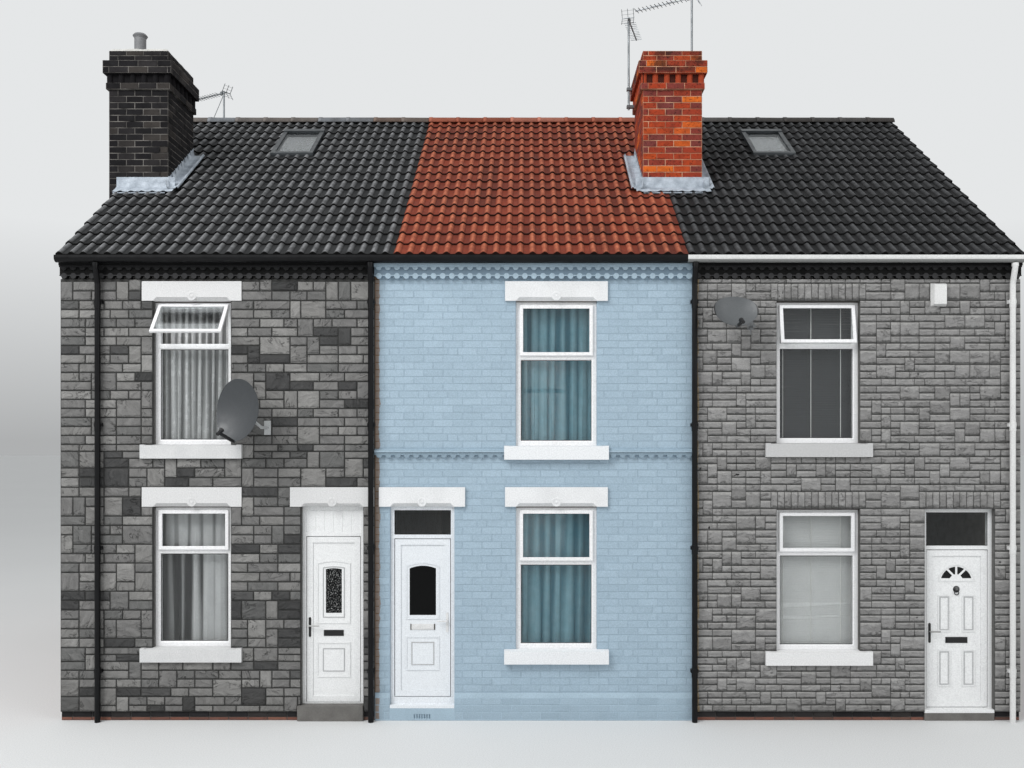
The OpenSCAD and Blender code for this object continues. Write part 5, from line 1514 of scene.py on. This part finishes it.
    def ridge(self, name: str, area: Box, finish: Finish, seed: int) -> bpy.types.Mesh:
        """The ridge tiles over one house."""
        packed = self.frame.box("ridge_tiles")
        radius, run = packed.high.y, area.high.x - area.low.x
        count = max(1, round(run / (self.ridge_l - 0.01)))
        return ROWS.cook(name, finish, Copy=self.ridge_tile(radius), Count=count, Seed=seed,
                         Start=(area.low.x, 0.0, packed.high.z - radius + self.ridge_lift),
                         Step=(run / count, 0.0, 0.0), Jitter=self.ridge_jitter)

    def build(self) -> None:
        """Lays every slope and the ridge."""
        for side, columns, finish, ridge, slot, seed in (
                ("left", 14, Shades.DARK_TILE, Shades.BROWN_RIDGE, "tile_dark", 11),
                ("middle", 12, Shades.RED_TILE, Shades.RED_RIDGE, "tile_red", 12),
                ("right", 14, Shades.BLACK_TILE, Shades.DARK_RIDGE, "tile_dark", 13)):
            area = self.frame.box("roof_front_" + side)
            front, back = "tiles_front_" + side, "tiles_back_" + side
            mesh = self.slope(front, area, columns, finish, seed)
            for window in self.frame.solids("roof_windows"):
                if area.low.x < window.middle.x < area.high.x:
                    self.cleared(mesh, window)
            piece(front, mesh, slot)
            self.deck("roof_front_" + side, "deck_front_" + side)
            piece(back, self.slope(back, area, columns, finish, seed + 10, back=True), slot)
            piece("ridge_" + side, self.ridge("ridge_" + side, area, ridge, seed + 20), slot,
                  ("ridge_tiles",) if side == "left" else ())
        self.deck("roof_back", "deck_back")


def sides(x0: float, x1: float, y0: float, y1: float) -> dict[str, tuple]:
    """The upright faces round a plan: each plane, its two ends along it, and its nearest y."""
    return {"front": (Face(y=y0), x0, x1, y0), "back": (Face(y=y1, turn=math.pi), -x1, -x0, y1),
            "left": (Face(x0, turn=-QUARTER), -y1, -y0, y0),
            "right": (Face(x1, turn=QUARTER), y0, y1, y0)}


@dataclass
class Brickwork:
    """Bricks on the painted front, the back, the end walls, the breast and the stacks."""

    frame: Frame
    roof: Roof
    proud: float = 0.004
    painted_proud: float = 0.0025
    base_proud: float = 0.012
    bed: float = 0.042
    edge_gap: float = 0.002
    plinth_foot: float = 0.016
    plinth_cap: float = 0.06
    course_cap: float = 0.035
    vent: Rect = (-1.57, -1.33, 0.0, 0.1)
    head_w: float = 0.078
    head_h: float = 0.225
    head_reach: float = 0.11
    corbel: float = 0.032
    shaft_foot: float = 6.8
    shaft_top: float = 8.307
    dentil_h: float = 0.125
    bond: Bond = Bond()

    def __post_init__(self) -> None:
        """Reads the walls and openings."""
        self.wall = self.frame.box("front_wall_left")
        self.middle = self.frame.box("eaves_band_middle")
        self.row = Box(self.wall.low, self.frame.box("back_wall_right").high)
        self.brick = block_pattern(1, 1)
        self.gaps = self.frame.front_gaps() + [
            (b.low.x, b.high.x, b.low.z + self.course_cap, b.high.z)
            for b in self.frame.solids("string_course")]

    def show(self, name: str, blocks: Blocks, finish: Finish, slot: str, **values: Value) -> None:
        """Makes a piece of laid bricks."""
        piece(name, blocks.lay(name, self.brick, finish, **values), slot)

    def painted_front(self) -> None:
        """The middle house's painted bricks and its plinth."""
        blocks = Blocks(31)
        left, right = self.middle.low.x + self.edge_gap, self.middle.high.x - self.edge_gap
        plinth = self.frame.box("plinth_middle")
        for y, low, high, gaps in (
                (self.wall.low.y, plinth.high.z, self.middle.low.z, self.gaps),
                (plinth.low.y, self.plinth_foot, plinth.high.z - self.plinth_cap,
                 [*self.gaps, self.vent])):
            self.bond.lay(blocks, Face(y=y), (left, right, low, high), gaps, self.painted_proud)
        self.show("painted_bricks", blocks, Shades.BLUE, "brick_blue", Bevel=0.0028, Wobble=0.005)

    def base_courses(self) -> None:
        """The courses under the stone facings."""
        top = self.frame.box("stone_cladding_left").low.z
        for name, seed, low, high, finish, slot in (
                ("base_bricks_black", 32, self.bed, top, Shades.BASE_BRICK, "brick_black"),
                ("base_bricks_red", 38, 0.0, self.bed, Shades.RED_BRICK, "brick_red")):
            blocks = Blocks(seed)
            for a, b in ((self.row.low.x, self.middle.low.x),
                         (self.middle.high.x, self.row.high.x)):
                Bond(height=high - low).lay(blocks, Face(y=self.wall.low.y), (a, b, low, high),
                                            self.gaps, self.base_proud)
            self.show(name, blocks, finish, slot)

    def back(self) -> None:
        """The back wall, with brick heads over its openings."""
        blocks = Blocks(33)
        face = Face(y=self.row.high.y, turn=math.pi)
        holes = self.frame.windows("window_frames_back") + self.frame.doorways("back_doors")
        gaps = [(-b, -a, c, d) for a, b, c, d in holes]
        heads = [(a - self.head_reach, b + self.head_reach, d, d + self.head_h)
                 for a, b, _, d in gaps]
        gaps += heads + [(-b.high.x, -b.low.x, b.low.z, b.high.z)
                         for b in self.frame.solids("sills") if b.low.y > 0]
        half = self.row.high.x
        self.bond.lay(blocks, face, (-half, half, 0.0, self.wall.high.z), gaps, self.proud)
        for left, right, low, high in heads:
            count = round((right - left) / self.head_w)
            for k in range(count):
                a, b = (left + (right - left) * n / count for n in (k, k + 1))
                blocks.add(face, (a, b, low, high), self.proud, self.bond.joint)
        self.show("bricks_back", blocks, Shades.RED_BRICK, "brick_red")

    def ends(self) -> None:
        """The two end walls, and the breast's three sides on the left one."""
        ridge = self.frame.box("party_walls").high.z
        breast = self.frame.box("chimney_breast")
        under = lambda u: ridge - abs(u) * math.tan(self.roof.pitch) + 0.03
        area = (self.row.low.y, self.row.high.y, 0.0, ridge)
        left, right = Blocks(34), Blocks(35)
        self.bond.lay(left, Face(self.row.low.x, turn=-QUARTER), area,
                      [(-breast.high.y, -breast.low.y, 0.0, ridge)], self.proud, under)
        round_breast = sides(breast.low.x, breast.high.x, breast.low.y, breast.high.y)
        for face, a, b, near in (round_breast[side] for side in ("left", "front", "back")):
            self.bond.lay(left, face, (a, b, 0.0, self.seat(near)), [], self.proud)
        self.bond.lay(right, Face(self.row.high.x, turn=QUARTER), area, [], self.proud, under)
        for side, blocks in (("left", left), ("right", right)):
            self.show("bricks_end_" + side, blocks, Shades.RED_BRICK, "brick_red")

    def seat(self, near: float) -> float:
        """Where the courses of a stack start over the roof, at a place across the row."""
        course = self.bond.height
        start = self.shaft_top - math.floor((self.shaft_top - self.shaft_foot) / course) * course
        while start + course < self.roof.height(near) - 0.05:
            start += course
        return start

    def stack(self, side: str, finish: Finish, slot: str, seed: int) -> None:
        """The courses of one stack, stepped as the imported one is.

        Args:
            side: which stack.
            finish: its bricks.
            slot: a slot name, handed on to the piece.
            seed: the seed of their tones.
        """
        whole = self.frame.box("chimney_stack_" + side)
        course, step = self.bond.height, self.corbel
        inset = 2 * step
        neck = self.shaft_top + course
        cap = neck + self.dentil_h
        head = cap + 2 * course
        blocks = Blocks(seed)
        for low, high, out in ((0.0, self.shaft_top, 0.0), (self.shaft_top, neck, step),
                               (cap, head, 2 * step), (head, whole.high.z, 0.0)):
            plan = sides(whole.low.x + inset - out, whole.high.x - inset + out,
                         whole.low.y + inset - out, whole.high.y - inset + out)
            for name, (face, a, b, near) in plan.items():
                start = max(low, self.seat(near))
                bricks = 3.5 if name in ("front", "back") else 4.5
                Bond((b - a) / bricks, min(course, high - start), 0).lay(
                    blocks, face, (a, b, start, high), [], self.proud)
        self.show("bricks_chimney_stack_" + side, blocks, finish, slot, Bevel=0.004, Wobble=0.011)

    def build(self) -> None:
        """Lays all the bricks."""
        self.painted_front()
        self.base_courses()
        self.back()
        self.ends()
        self.stack("left", Shades.BLACK_BRICK, "brick_black", 36)
        self.stack("right", Shades.ORANGE_BRICK, "brick_orange", 37)


@dataclass
class StoneFacings:
    """The random-coursed stones of the two clad houses."""

    frame: Frame
    left: Ashlar = Ashlar(0.075, 0.113, (3, 3, 4, 4, 5), 0.015, 0.008, 0.002)
    right: Ashlar = Ashlar(0.06, 0.088, (2, 3, 3, 4, 5), 0.006, 0.012, 0.005)
    soldier_h: float = 0.21
    soldier_reach: float = 0.07

    def house(self, side: str, stone: Ashlar, blocks: Blocks) -> None:
        """Lays the stones of one house.

        Args:
            side: which house; the right one has upright stones over its openings.
            stone: how its stones are laid.
            blocks: what they are added to.
        """
        box = self.frame.box("stone_cladding_" + side)
        area = box.front()
        gaps = self.frame.front_gaps() + [
            b.front() for b in self.frame.solids("door_steps") if b.low.y < 0]
        gaps = [g for g in gaps if g[1] > area[0] and g[0] < area[1]]
        soldiers: list[Rect] = []
        if side == "right":
            windows = [w for w in self.frame.windows("window_frames_front") if w[0] > area[0]]
            door = self.frame.solids("door_frames")[-1].front()
            soldiers = [(left - self.soldier_reach, right + self.soldier_reach, top,
                         min(top + self.soldier_h, area[3]))
                        for left, right, _, top in (*windows, door)]
        stone.lay(blocks, Face(y=box.low.y), area, gaps, soldiers)

    def build(self) -> None:
        """Lays the stones of both houses."""
        rough = {"Bevel": 0.004, "Relief": 0.007, "Relief_Scale": 16.0, "Wobble": 0.008}
        split = {"Bevel": 0.007, "Relief": 0.022, "Relief_Scale": 14.0, "Wobble": 0.006}
        for side, stone, finish, seed, fine, cut in (
                ("left", self.left, Shades.LEFT_STONE, 41, (8, 6), rough),
                ("right", self.right, Shades.RIGHT_STONE, 42, (6, 4), split)):
            blocks = Blocks(seed)
            self.house(side, stone, blocks)
            mesh = blocks.lay("stones_" + side, block_pattern(*fine), finish, Soft=True, **cut)
            piece("stones_" + side, mesh, "stone_" + side)


@dataclass
class Hangings:
    """Nets, curtains and slatted blinds behind the front windows."""

    frame: Frame
    transom: float = 0.27
    rows: int = 40
    per_fold: int = 12
    slat_w: float = 0.025
    slat_pitch: float = 0.0215
    closed: float = math.radians(64)

    def cloth(self, name: str, box: Box, finish: Finish, fold: float, seed: int,
              replaced: Sequence[str] = (), flare: float = 0.6, gloom: float = 0.3,
              head: float = 0.0) -> None:
        """One hung cloth, gathered at its head and falling in folds.

        Args:
            name: the piece's name.
            box: the space that it hangs in.
            finish: its cloth.
            fold: about how wide a fold is.
            seed: the seed of its folds.
            replaced: the CAD nodes that it stands for.
            flare: how much the folds wander on the way down.
            gloom: how much more painted shade some folds take than others.
            head: how much paler, as painted light, it is above the transom.
        """
        chances = random.Random(seed)
        folds = max(3, round(box.size.x / fold))
        shifts, depths, glooms = (
            [chances.uniform(least, most) for _ in range(folds + 2)]
            for least, most in ((-0.42, 0.42), (0.45, 1.0), (-0.8, 0.8)))
        glooms = [share * gloom for share in glooms]
        deep = min(box.size.y / 2 - 0.004, 0.021)
        columns, rows = folds * self.per_fold, self.rows
        lines: list[list[Point]] = []
        sunk: list[float] = []
        for r in range(rows + 1):
            down = r / rows
            below = min(1.0, max(0.0, (down - self.transom) * 20)) if head else 1.0
            lines.append([])
            for c in range(columns + 1):
                across = c / columns * folds
                k = int(across)
                turn = across - k
                drift = shifts[k] * (1 - across + k) + shifts[k + 1] * turn
                size = depths[k] * (1 - across + k) + depths[k + 1] * turn
                wave = size * math.sin(2 * math.pi * (across + drift * (1 - flare + flare * down)))
                sway = noise.noise(Vector((across * 0.35, down * 1.6, seed))) * 0.35
                fell = max(-1, min(1, wave + sway))
                x = box.low.x + box.size.x * c / columns
                x += 0.012 * math.sin(4 * math.pi * (across + drift)) * (0.4 + 0.6 * down)
                lines[-1].append((min(max(x, box.low.x), box.high.x),
                                  box.middle.y + deep * (0.45 + 0.55 * down) * fell,
                                  box.high.z - box.size.z * down))
                # Painted shade: each fold's gloom, eased from fold to fold, joins the fold's depth
                # in the fold attribute; above the transom head takes shade away as painted light.
                shade = glooms[k] + (glooms[k + 1] - glooms[k]) * turn * turn * (3 - 2 * turn)
                sunk.append(0.5 + 0.5 * fell + (shade * below - head * (1 - below)))
        mesh = sheet_mesh(name, lines, finish)
        flat = mesh.uv_layers.new(name="flat")
        for loop in mesh.loops:
            r, c = divmod(loop.vertex_index, columns + 1)
            flat.data[loop.index].uv = (box.size.x * 1.5 * c / columns, box.size.z * (1 - r / rows))
        store(mesh, "fold", sunk)
        made = piece(name, mesh, "fabric_curtain", replaced)

    def slat(self, half: float) -> bpy.types.Object:
        """One crowned slat, closed as far as it goes.

        Args:
            half: half its length.

        Returns:
            The slat, to be repeated.
        """
        steps, crown, thick = 6, 0.0022, 0.0004
        cos, sin = math.cos(self.closed), math.sin(self.closed)
        points: list[Point] = []
        for x in (-half, half):
            for side in (1, -1):
                for k in range(steps + 1):
                    across = (k / steps - 0.5) * self.slat_w * side
                    rise = crown * (1 - (2 * across / self.slat_w) ** 2)
                    rise += thick if side > 0 else 0.0
                    points.append((x, across * cos - rise * sin, across * sin + rise * cos))
        ring = 2 * (steps + 1)
        faces = [(k, (k + 1) % ring, ring + (k + 1) % ring, ring + k) for k in range(ring)]
        faces += [tuple(range(ring - 1, -1, -1)), tuple(range(ring, 2 * ring))]
        return bpy.data.objects.new("slat_pattern",
                                    surface("slat_pattern", points, faces, outward=True))

    def blind(self, name: str, box: Box, finish: Finish, seed: int,
              replaced: Sequence[str] = (), fallen: float = 0.0) -> None:
        """A slatted blind with its ladder cords and bottom rail.

        Args:
            name: the piece's name.
            box: the space that it hangs in.
            finish: its slats.
            seed: the seed of their unevenness.
            replaced: the CAD nodes that it stands for.
            fallen: the share at the foot whose slats hang lower on one side.
        """
        count = int((box.size.z - 0.05) / self.slat_pitch)
        mesh = ROWS.cook(name, finish, Copy=self.slat(box.size.x / 2 - 0.01), Count=count,
                         Start=(box.middle.x, box.middle.y, box.high.z - 0.04),
                         Step=(0.0, 0.0, -self.slat_pitch), Jitter=0.004, Seed=seed)
        if fallen:
            lip = box.low.z + box.size.z * fallen
            for vert in mesh.vertices:
                reach = vert.co.x - box.high.x
                if lip - 0.12 < vert.co.z < lip + 0.03:
                    vert.co.z += reach * 0.05 - 0.012
                elif vert.co.z < lip:
                    vert.co.z += reach * 0.012 * (vert.co.z - box.low.z) / (lip - box.low.z)
        mesh.materials.append(Paints.of(Shades.CORD))
        top, foot = box.high.z, box.high.z - 0.05 - count * self.slat_pitch
        rails = [(box.low.x, box.high.x, top - 0.032, top, 0.014),
                 (box.low.x + 0.01, box.high.x - 0.01, foot, foot + 0.014, 0.011)]
        cords = (box.low.x + box.size.x * share for share in (0.12, 0.47, 0.84))
        rails += [(x - 0.003, x + 0.003, foot, top - 0.03, 0.0145) for x in cords]
        with opened(mesh) as edited:
            for number, (x0, x1, z0, z1, depth) in enumerate(rails):
                made = add_box(edited, ((x0 + x1) / 2, box.middle.y, (z0 + z1) / 2),
                               (x1 - x0, 2 * depth, z1 - z0))
                for side in {f for v in made for f in v.link_faces}:
                    side.material_index = len(mesh.materials) - 1 if number > 1 else 0
        piece(name, mesh, "blind_slats", replaced)

    def build(self) -> None:
        """Hangs everything."""
        low_left, up_left, low_middle, up_middle = self.frame.solids("curtains")
        self.cloth("net_left_upper", up_left, Shades.LACE, 0.085, 51, ("curtains",), flare=1.2)
        self.cloth("curtain_left_lower", low_left, Shades.CURTAIN_GREY, 0.15, 402,
                   flare=1.5, gloom=0.8, head=0.3)
        self.cloth("net_middle_lower", low_middle, Shades.NET_TEAL, 0.145, 53, flare=0.9)
        self.cloth("net_middle_upper", up_middle, Shades.NET_TEAL, 0.125, 54, flare=0.9)
        low_right, up_right = self.frame.solids("blinds")
        self.blind("blind_right_upper", up_right, Shades.SLAT_DARK, 55, ("blinds",))
        self.blind("blind_right_lower", low_right, Shades.SLAT_PALE, 56, fallen=0.3)


@dataclass
class Seals:
    """Black seals round every closed upright pane, and a dark bead along the head of each front
    window: sealant, and painted shadow under the head.
    """

    frame: Frame
    width: float = 0.007
    depth: float = 0.003
    leaning: float = 0.03

    def strips(self) -> Iterator[tuple[Point, Point]]:
        """The middle and size of four strips against each pane's outer face."""
        for pane in self.frame.solids("window_glass"):
            if pane.size.y > self.leaning:
                continue
            out = -1 if pane.middle.y < 0 else 1
            y = (pane.low.y if out < 0 else pane.high.y) + out * self.depth / 2
            left, right, low, high = pane.front()
            for a, b, c, d in ((left, right, low, low + self.width),
                               (left, right, high - self.width, high),
                               (left, left + self.width, low, high),
                               (right - self.width, right, low, high)):
                yield ((a + b) / 2, y, (c + d) / 2), (b - a, self.depth, d - c)

    def beads(self) -> Iterator[tuple[Point, Point]]:
        """The middle and size of a dark bead along the head of each front window: sealant, and
        painted shadow under the head.
        """
        for frame in self.frame.solids("window_frames_front"):
            if frame.size.z > Frame.WINDOW_H:
                left, right, _, high = frame.front()
                yield (((left + right) / 2, frame.low.y - 0.001, high - self.width),
                       (right - left - 0.004, self.depth, 2 * self.width - 0.001))

    def build(self) -> None:
        """Makes a piece of the strips, and one of the beads."""
        for name, boxes, finish, slot in (
                ("glazing_seals", self.strips(), Shades.RUBBER, "plastic_black"),
                ("head_sealant", self.beads(), Shades.SEALANT_AND_SHADOW, "mortar")):
            mesh = surface(name, (), (), finish)
            with opened(mesh) as edited:
                for middle, size in boxes:
                    add_box(edited, middle, size)
            piece(name, mesh, slot)


@dataclass
class Leadwork:
    """Dressed lead over the tiles at the feet of the stacks, and the mortar on the left one."""

    frame: Frame
    roof: Roof
    inset: float = 0.064
    tray: float = 0.15
    apron: float = 0.17
    upstand: float = 0.13
    thick: float = 0.003
    stepped: float = 0.088
    columns: int = 48

    def on_slope(self, x: float, along: float, off: float) -> Point:
        """A place on the front slope: across it, up it from the eaves, and off its tiles' plane."""
        c, t = math.cos(self.roof.pitch), math.sin(self.roof.pitch)
        return x, -self.roof.edge_y + along * c - off * t, self.roof.eaves_z + along * t + off * c

    def along(self, y: float) -> float:
        """How far up the slope a place across the row is."""
        return (self.roof.edge_y + y) / math.cos(self.roof.pitch)

    def front(self, x0: float, x1: float, y0: float, pitch: float) -> list[list[Point]]:
        """The apron: wavy over the tiles, and up the stack's face.

        Args:
            x0: its left end.
            x1: its right end.
            y0: the stack's face.
            pitch: how far apart the tiles' rolls are.

        Returns:
            Rows of points.
        """
        foot = self.along(y0)
        xs = [x0 + (x1 - x0) * c / self.columns for c in range(self.columns + 1)]
        lines: list[list[Point]] = []
        for share in (0.0, 0.25, 0.55, 0.85):
            line = []
            for x in xs:
                wave = max(0.0, math.sin(2 * math.pi * x / pitch)) * 0.024 * (1 - share)
                ragged = noise.noise(Vector((x * 9, 1.7, 0.0))) * 0.022 * (1 - share)
                dent = noise.noise(Vector((x * 14, share * 5, 3.0))) * 0.006
                line.append(self.on_slope(x, foot - self.apron * (1 - share) + ragged,
                                          0.022 + wave * 0.6 + dent))
            lines.append(line)
        low = lines[-1][0][2] + 0.02
        for rise in (0.0, self.upstand * 0.5, self.upstand):
            bulge = [noise.noise(Vector((c * 0.4, rise * 20, 5.0))) * 0.003 for c in range(len(xs))]
            lines.append([(x, y0 - 0.013 - out, low + rise) for x, out in zip(xs, bulge)])
        return lines

    def side(self, face: float, out: float, y0: float, y1: float) -> list[list[Point]]:
        """A tray beside the stack, with its stepped upstand against the bricks.

        Args:
            face: the stack's side.
            out: which way is away from it, 1 or -1.
            y0: the stack's face in front.
            y1: the stack's face behind.

        Returns:
            Rows of points.
        """
        at, end = self.along(y0) - 0.08, self.along(y1) + 0.03
        step = self.stepped / math.sin(self.roof.pitch)
        marks: list[Span] = []
        while at < end:
            marks += [(at, 0.0), (min(at + step * 0.98, end), 1.0)]
            at += step
        lines = []
        for along, fall in marks:
            top = 0.15 - 0.075 * fall
            dent = noise.noise(Vector((along * 6, out * 3, 9.0))) * 0.008
            section = ((0.012, top), (0.012, 0.03), (0.07, 0.026 + dent),
                       (self.tray * 0.85, 0.03 + dent), (self.tray, 0.056 + dent),
                       (self.tray + 0.018, 0.03))
            lines.append([self.on_slope(face + out * x, along, off) for x, off in section])
        return lines

    def sheet(self, name: str, lines: list[list[Point]]) -> None:
        """Makes a closed sheet of lead through rows of points."""
        mesh = sheet_mesh(name, lines, Shades.LEAD)
        with opened(mesh) as edited:
            bmesh.ops.recalc_face_normals(edited, faces=edited.faces)
            bmesh.ops.solidify(edited, geom=edited.faces[:], thickness=self.thick)
            bmesh.ops.recalc_face_normals(edited, faces=edited.faces)
        piece(name, mesh, "lead")

    def fillet(self, stack: Box) -> None:
        """The mortar that slopes from the left stack's top edges up to its flue."""
        steps = 8
        points: list[Point] = []
        for inward, rise in ((0.0, 0.0), (0.025, 0.035), (0.11, 0.068), (0.2, 0.088)):
            gap = self.inset + 0.006 + inward
            x0, x1, y0, y1 = (stack.low.x + gap, stack.high.x - gap,
                              stack.low.y + gap, stack.high.y - gap)
            for a, b in pairwise(((x0, y0), (x1, y0), (x1, y1), (x0, y1), (x0, y0))):
                for k in range(steps):
                    x, y = (a[i] + (b[i] - a[i]) * k / steps for i in (0, 1))
                    lump = noise.noise(Vector((x * 7, y * 7, 0.0))) * 0.02 if rise else 0.0
                    points.append((x, y, stack.high.z + rise + lump))
        ring, count = 4 * steps, len(points)
        faces = [(r + k, r + (k + 1) % ring, r + ring + (k + 1) % ring, r + ring + k)
                 for r in range(0, count - ring, ring) for k in range(ring)]
        faces += [tuple(range(count - ring, count)), tuple(range(ring - 1, -1, -1))]
        piece("mortar_fillet", surface("mortar_fillet", points, faces, Shades.FLUE, outward=True),
              "mortar")

    def build(self) -> None:
        """Dresses the lead at both stacks."""
        pitch = self.frame.box("roof_front_middle").size.x / 24
        reach = self.tray * 0.7
        for side in ("left", "right"):
            stack = self.frame.box("chimney_stack_" + side)
            x0, x1 = stack.low.x + self.inset, stack.high.x - self.inset
            y0, y1 = stack.low.y + self.inset, stack.high.y - self.inset
            end = self.frame.box("party_walls").low.x if side == "left" else x0 - reach
            self.sheet("lead_apron_" + side, self.front(end, x1 + reach, y0, pitch))
            self.sheet("lead_tray_right_of_" + side, self.side(x1, 1.0, y0, y1))
            if side == "right":
                self.sheet("lead_tray_left_of_" + side, self.side(x0, -1.0, y0, y1))
        self.fillet(self.frame.box("chimney_stack_left"))


@dataclass
class Carcass:
    """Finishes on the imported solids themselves."""

    frame: Frame

    def build(self) -> None:
        """Dresses every node that stays."""
        dress = self.frame.dress
        dress(Shades.CLAD_WALL, "front_wall_left", "front_wall_right")
        dress(Shades.BLUE_WALL, "front_wall_middle", "door_piers", "walls_over_doors")
        dress(Shades.BLUE_TRIM, "plinth_middle", "eaves_band_middle", "string_course", soften=0.004)
        dress(Shades.BACK_WALL, "back_wall_left", "back_wall_middle", "back_wall_right")
        dress(Shades.MORTAR, "chimney_breast", "party_walls")
        dress(Shades.PINK_MORTAR, "chimney_stack_right")
        dress(Shades.FLUE, "flue_and_flaunching")
        dress(Shades.SOOT_MORTAR, "chimney_stack_left")
        dress(Shades.CONCRETE, "ground_floors")
        dress(Shades.TIMBER, "upper_floors", "eaves_timbers")
        dress(Shades.PLASTER, "ceilings")
        dress(Shades.BOARD, "fascia_boards", soften=0.002)
        dress(Shades.BAND, "eaves_band_left", "eaves_band_right", soften=0.003)
        dress(Shades.BLACK_PIPE, "gutters_black", "downpipes_black")
        dress(Shades.WHITE_PIPE, "gutter_white", "downpipe_white")
        dress(Shades.LEFT_JOINT, "stone_cladding_left")
        dress(Shades.RIGHT_JOINT, "stone_cladding_right")
        dress(Shades.LINTEL, "lintels", soften=0.006)
        dress(Shades.SILL, "sills", soften=0.006)
        dress(Shades.WHITE_FRAME, "window_frames_front", "window_frames_back", soften=0.003)
        dress(Shades.WHITE_PIPE, "alarm_box", soften=0.003)
        dress(Shades.DOOR, "door_frames", "back_doors", soften=0.003)
        dress(Shades.DOOR, "door_leaf_left", "door_leaf_middle", "door_leaf_right")
        dress(Shades.PANE, "window_glass")
        dress(Shades.FLECKED_PANE, "door_glass_left")
        dress(Shades.BLACK_PANE, "door_glass_middle")
        dress(Shades.DARK_PANE, "door_glass_right")
        dress(Shades.IRON, "door_furniture_left", "door_furniture_right", soften=0.002)
        dress(Shades.SILVER, "door_furniture_middle", soften=0.002)
        dress(Shades.STEP, "door_steps", soften=0.008)
        dress(Shades.LEAD, "lead_flashings", soften=0.002)
        dress(Shades.WINDOW_METAL, "roof_windows", soften=0.004)
        dress(Shades.DISHES, "satellite_dishes")
        dress(Shades.STEEL, "aerials")


@dataclass
class Studio:
    """Floor, light and camera."""

    lens: float = 34.14
    shift: Span = (-0.0156, 0.0547)
    eye: Point = (-0.153, -16.06, 3.436)
    aim: Point = (0, -2, 3)
    reach: float = 200

    def show(self, name: str, data: bpy.types.ID) -> bpy.types.Object:
        """Links a new object to the scene."""
        made = bpy.data.objects.new(name, data)
        bpy.context.scene.collection.objects.link(made)
        return made

    def build(self) -> None:
        """Builds the stage."""
        scene = bpy.context.scene
        scene.view_settings.view_transform = "Standard"
        camera = scene.camera = self.show("camera", bpy.data.cameras.new("camera"))
        camera.data.lens = self.lens
        camera.data.shift_x, camera.data.shift_y = self.shift
        camera.data.clip_end = 2 * self.reach
        camera.location = self.eye
        camera.rotation_euler = (QUARTER, 0, 0)
        far = self.reach
        self.show("floor", surface(
            "floor", [(-far, -far, 0), (far, -far, 0), (far, far, 0), (-far, far, 0)],
            [(0, 1, 2, 3)],
            Finish("pale_floor", "dadbdb", "d3d4d4", 0.3, 0.3, 0.9, 0.05, 0.0)))
        self.lamp("key", (-12, -17, 18), 11.0, 3700)
        self.lamp("fill", (15, -15, 11), 14.0, 850)
        self.sky()

    def lamp(self, name: str, place: Point, size: float, power: float) -> None:
        """A soft square lamp aimed at the row's middle."""
        made = self.show(name, bpy.data.lights.new(name, "AREA"))
        made.data.size, made.data.energy = size, power
        made.location = place
        way = Vector(self.aim) - Vector(place)
        made.rotation_euler = way.to_track_quat("-Z", "Y").to_euler()

    @staticmethod
    def sky() -> None:
        """A pale sky, whiter to the camera than its light on the row, that meets the far floor."""
        world = bpy.context.scene.world = bpy.data.worlds.new("sky")
        world.use_nodes = True
        world.node_tree.nodes.clear()
        tree = Tree(world.node_tree)
        camera, glossy, through = tree.outputs(
            tree.node("ShaderNodeLightPath"),
            "Is Camera Ray", "Is Glossy Ray", "Is Transmission Ray")
        rise = tree.parts(tree.node("ShaderNodeTexCoord", out="Generated"))[2]
        dim = tree.ranged(rise, 0.0, 0.2, 0.44, 0.0) * camera
        strength = (camera + glossy + through).held() * 0.22 + 0.74 - dim
        back = tree.node("ShaderNodeBackground", {"Color": "e9ebec", "Strength": strength})
        tree.node("ShaderNodeOutputWorld", {"Surface": back})


def main() -> None:
    """Builds the row, part by part, and its stage."""
    logging.basicConfig(level=logging.INFO, format="%(message)s")
    frame = Frame()
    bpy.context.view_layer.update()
    roof = Roof(frame)
    for part in (Studio(), Carcass(frame), roof, Brickwork(frame, roof), StoneFacings(frame),
                 Hangings(frame), Seals(frame), Leadwork(frame, roof)):
        part.build()


if __name__ == "__main__":
    main()
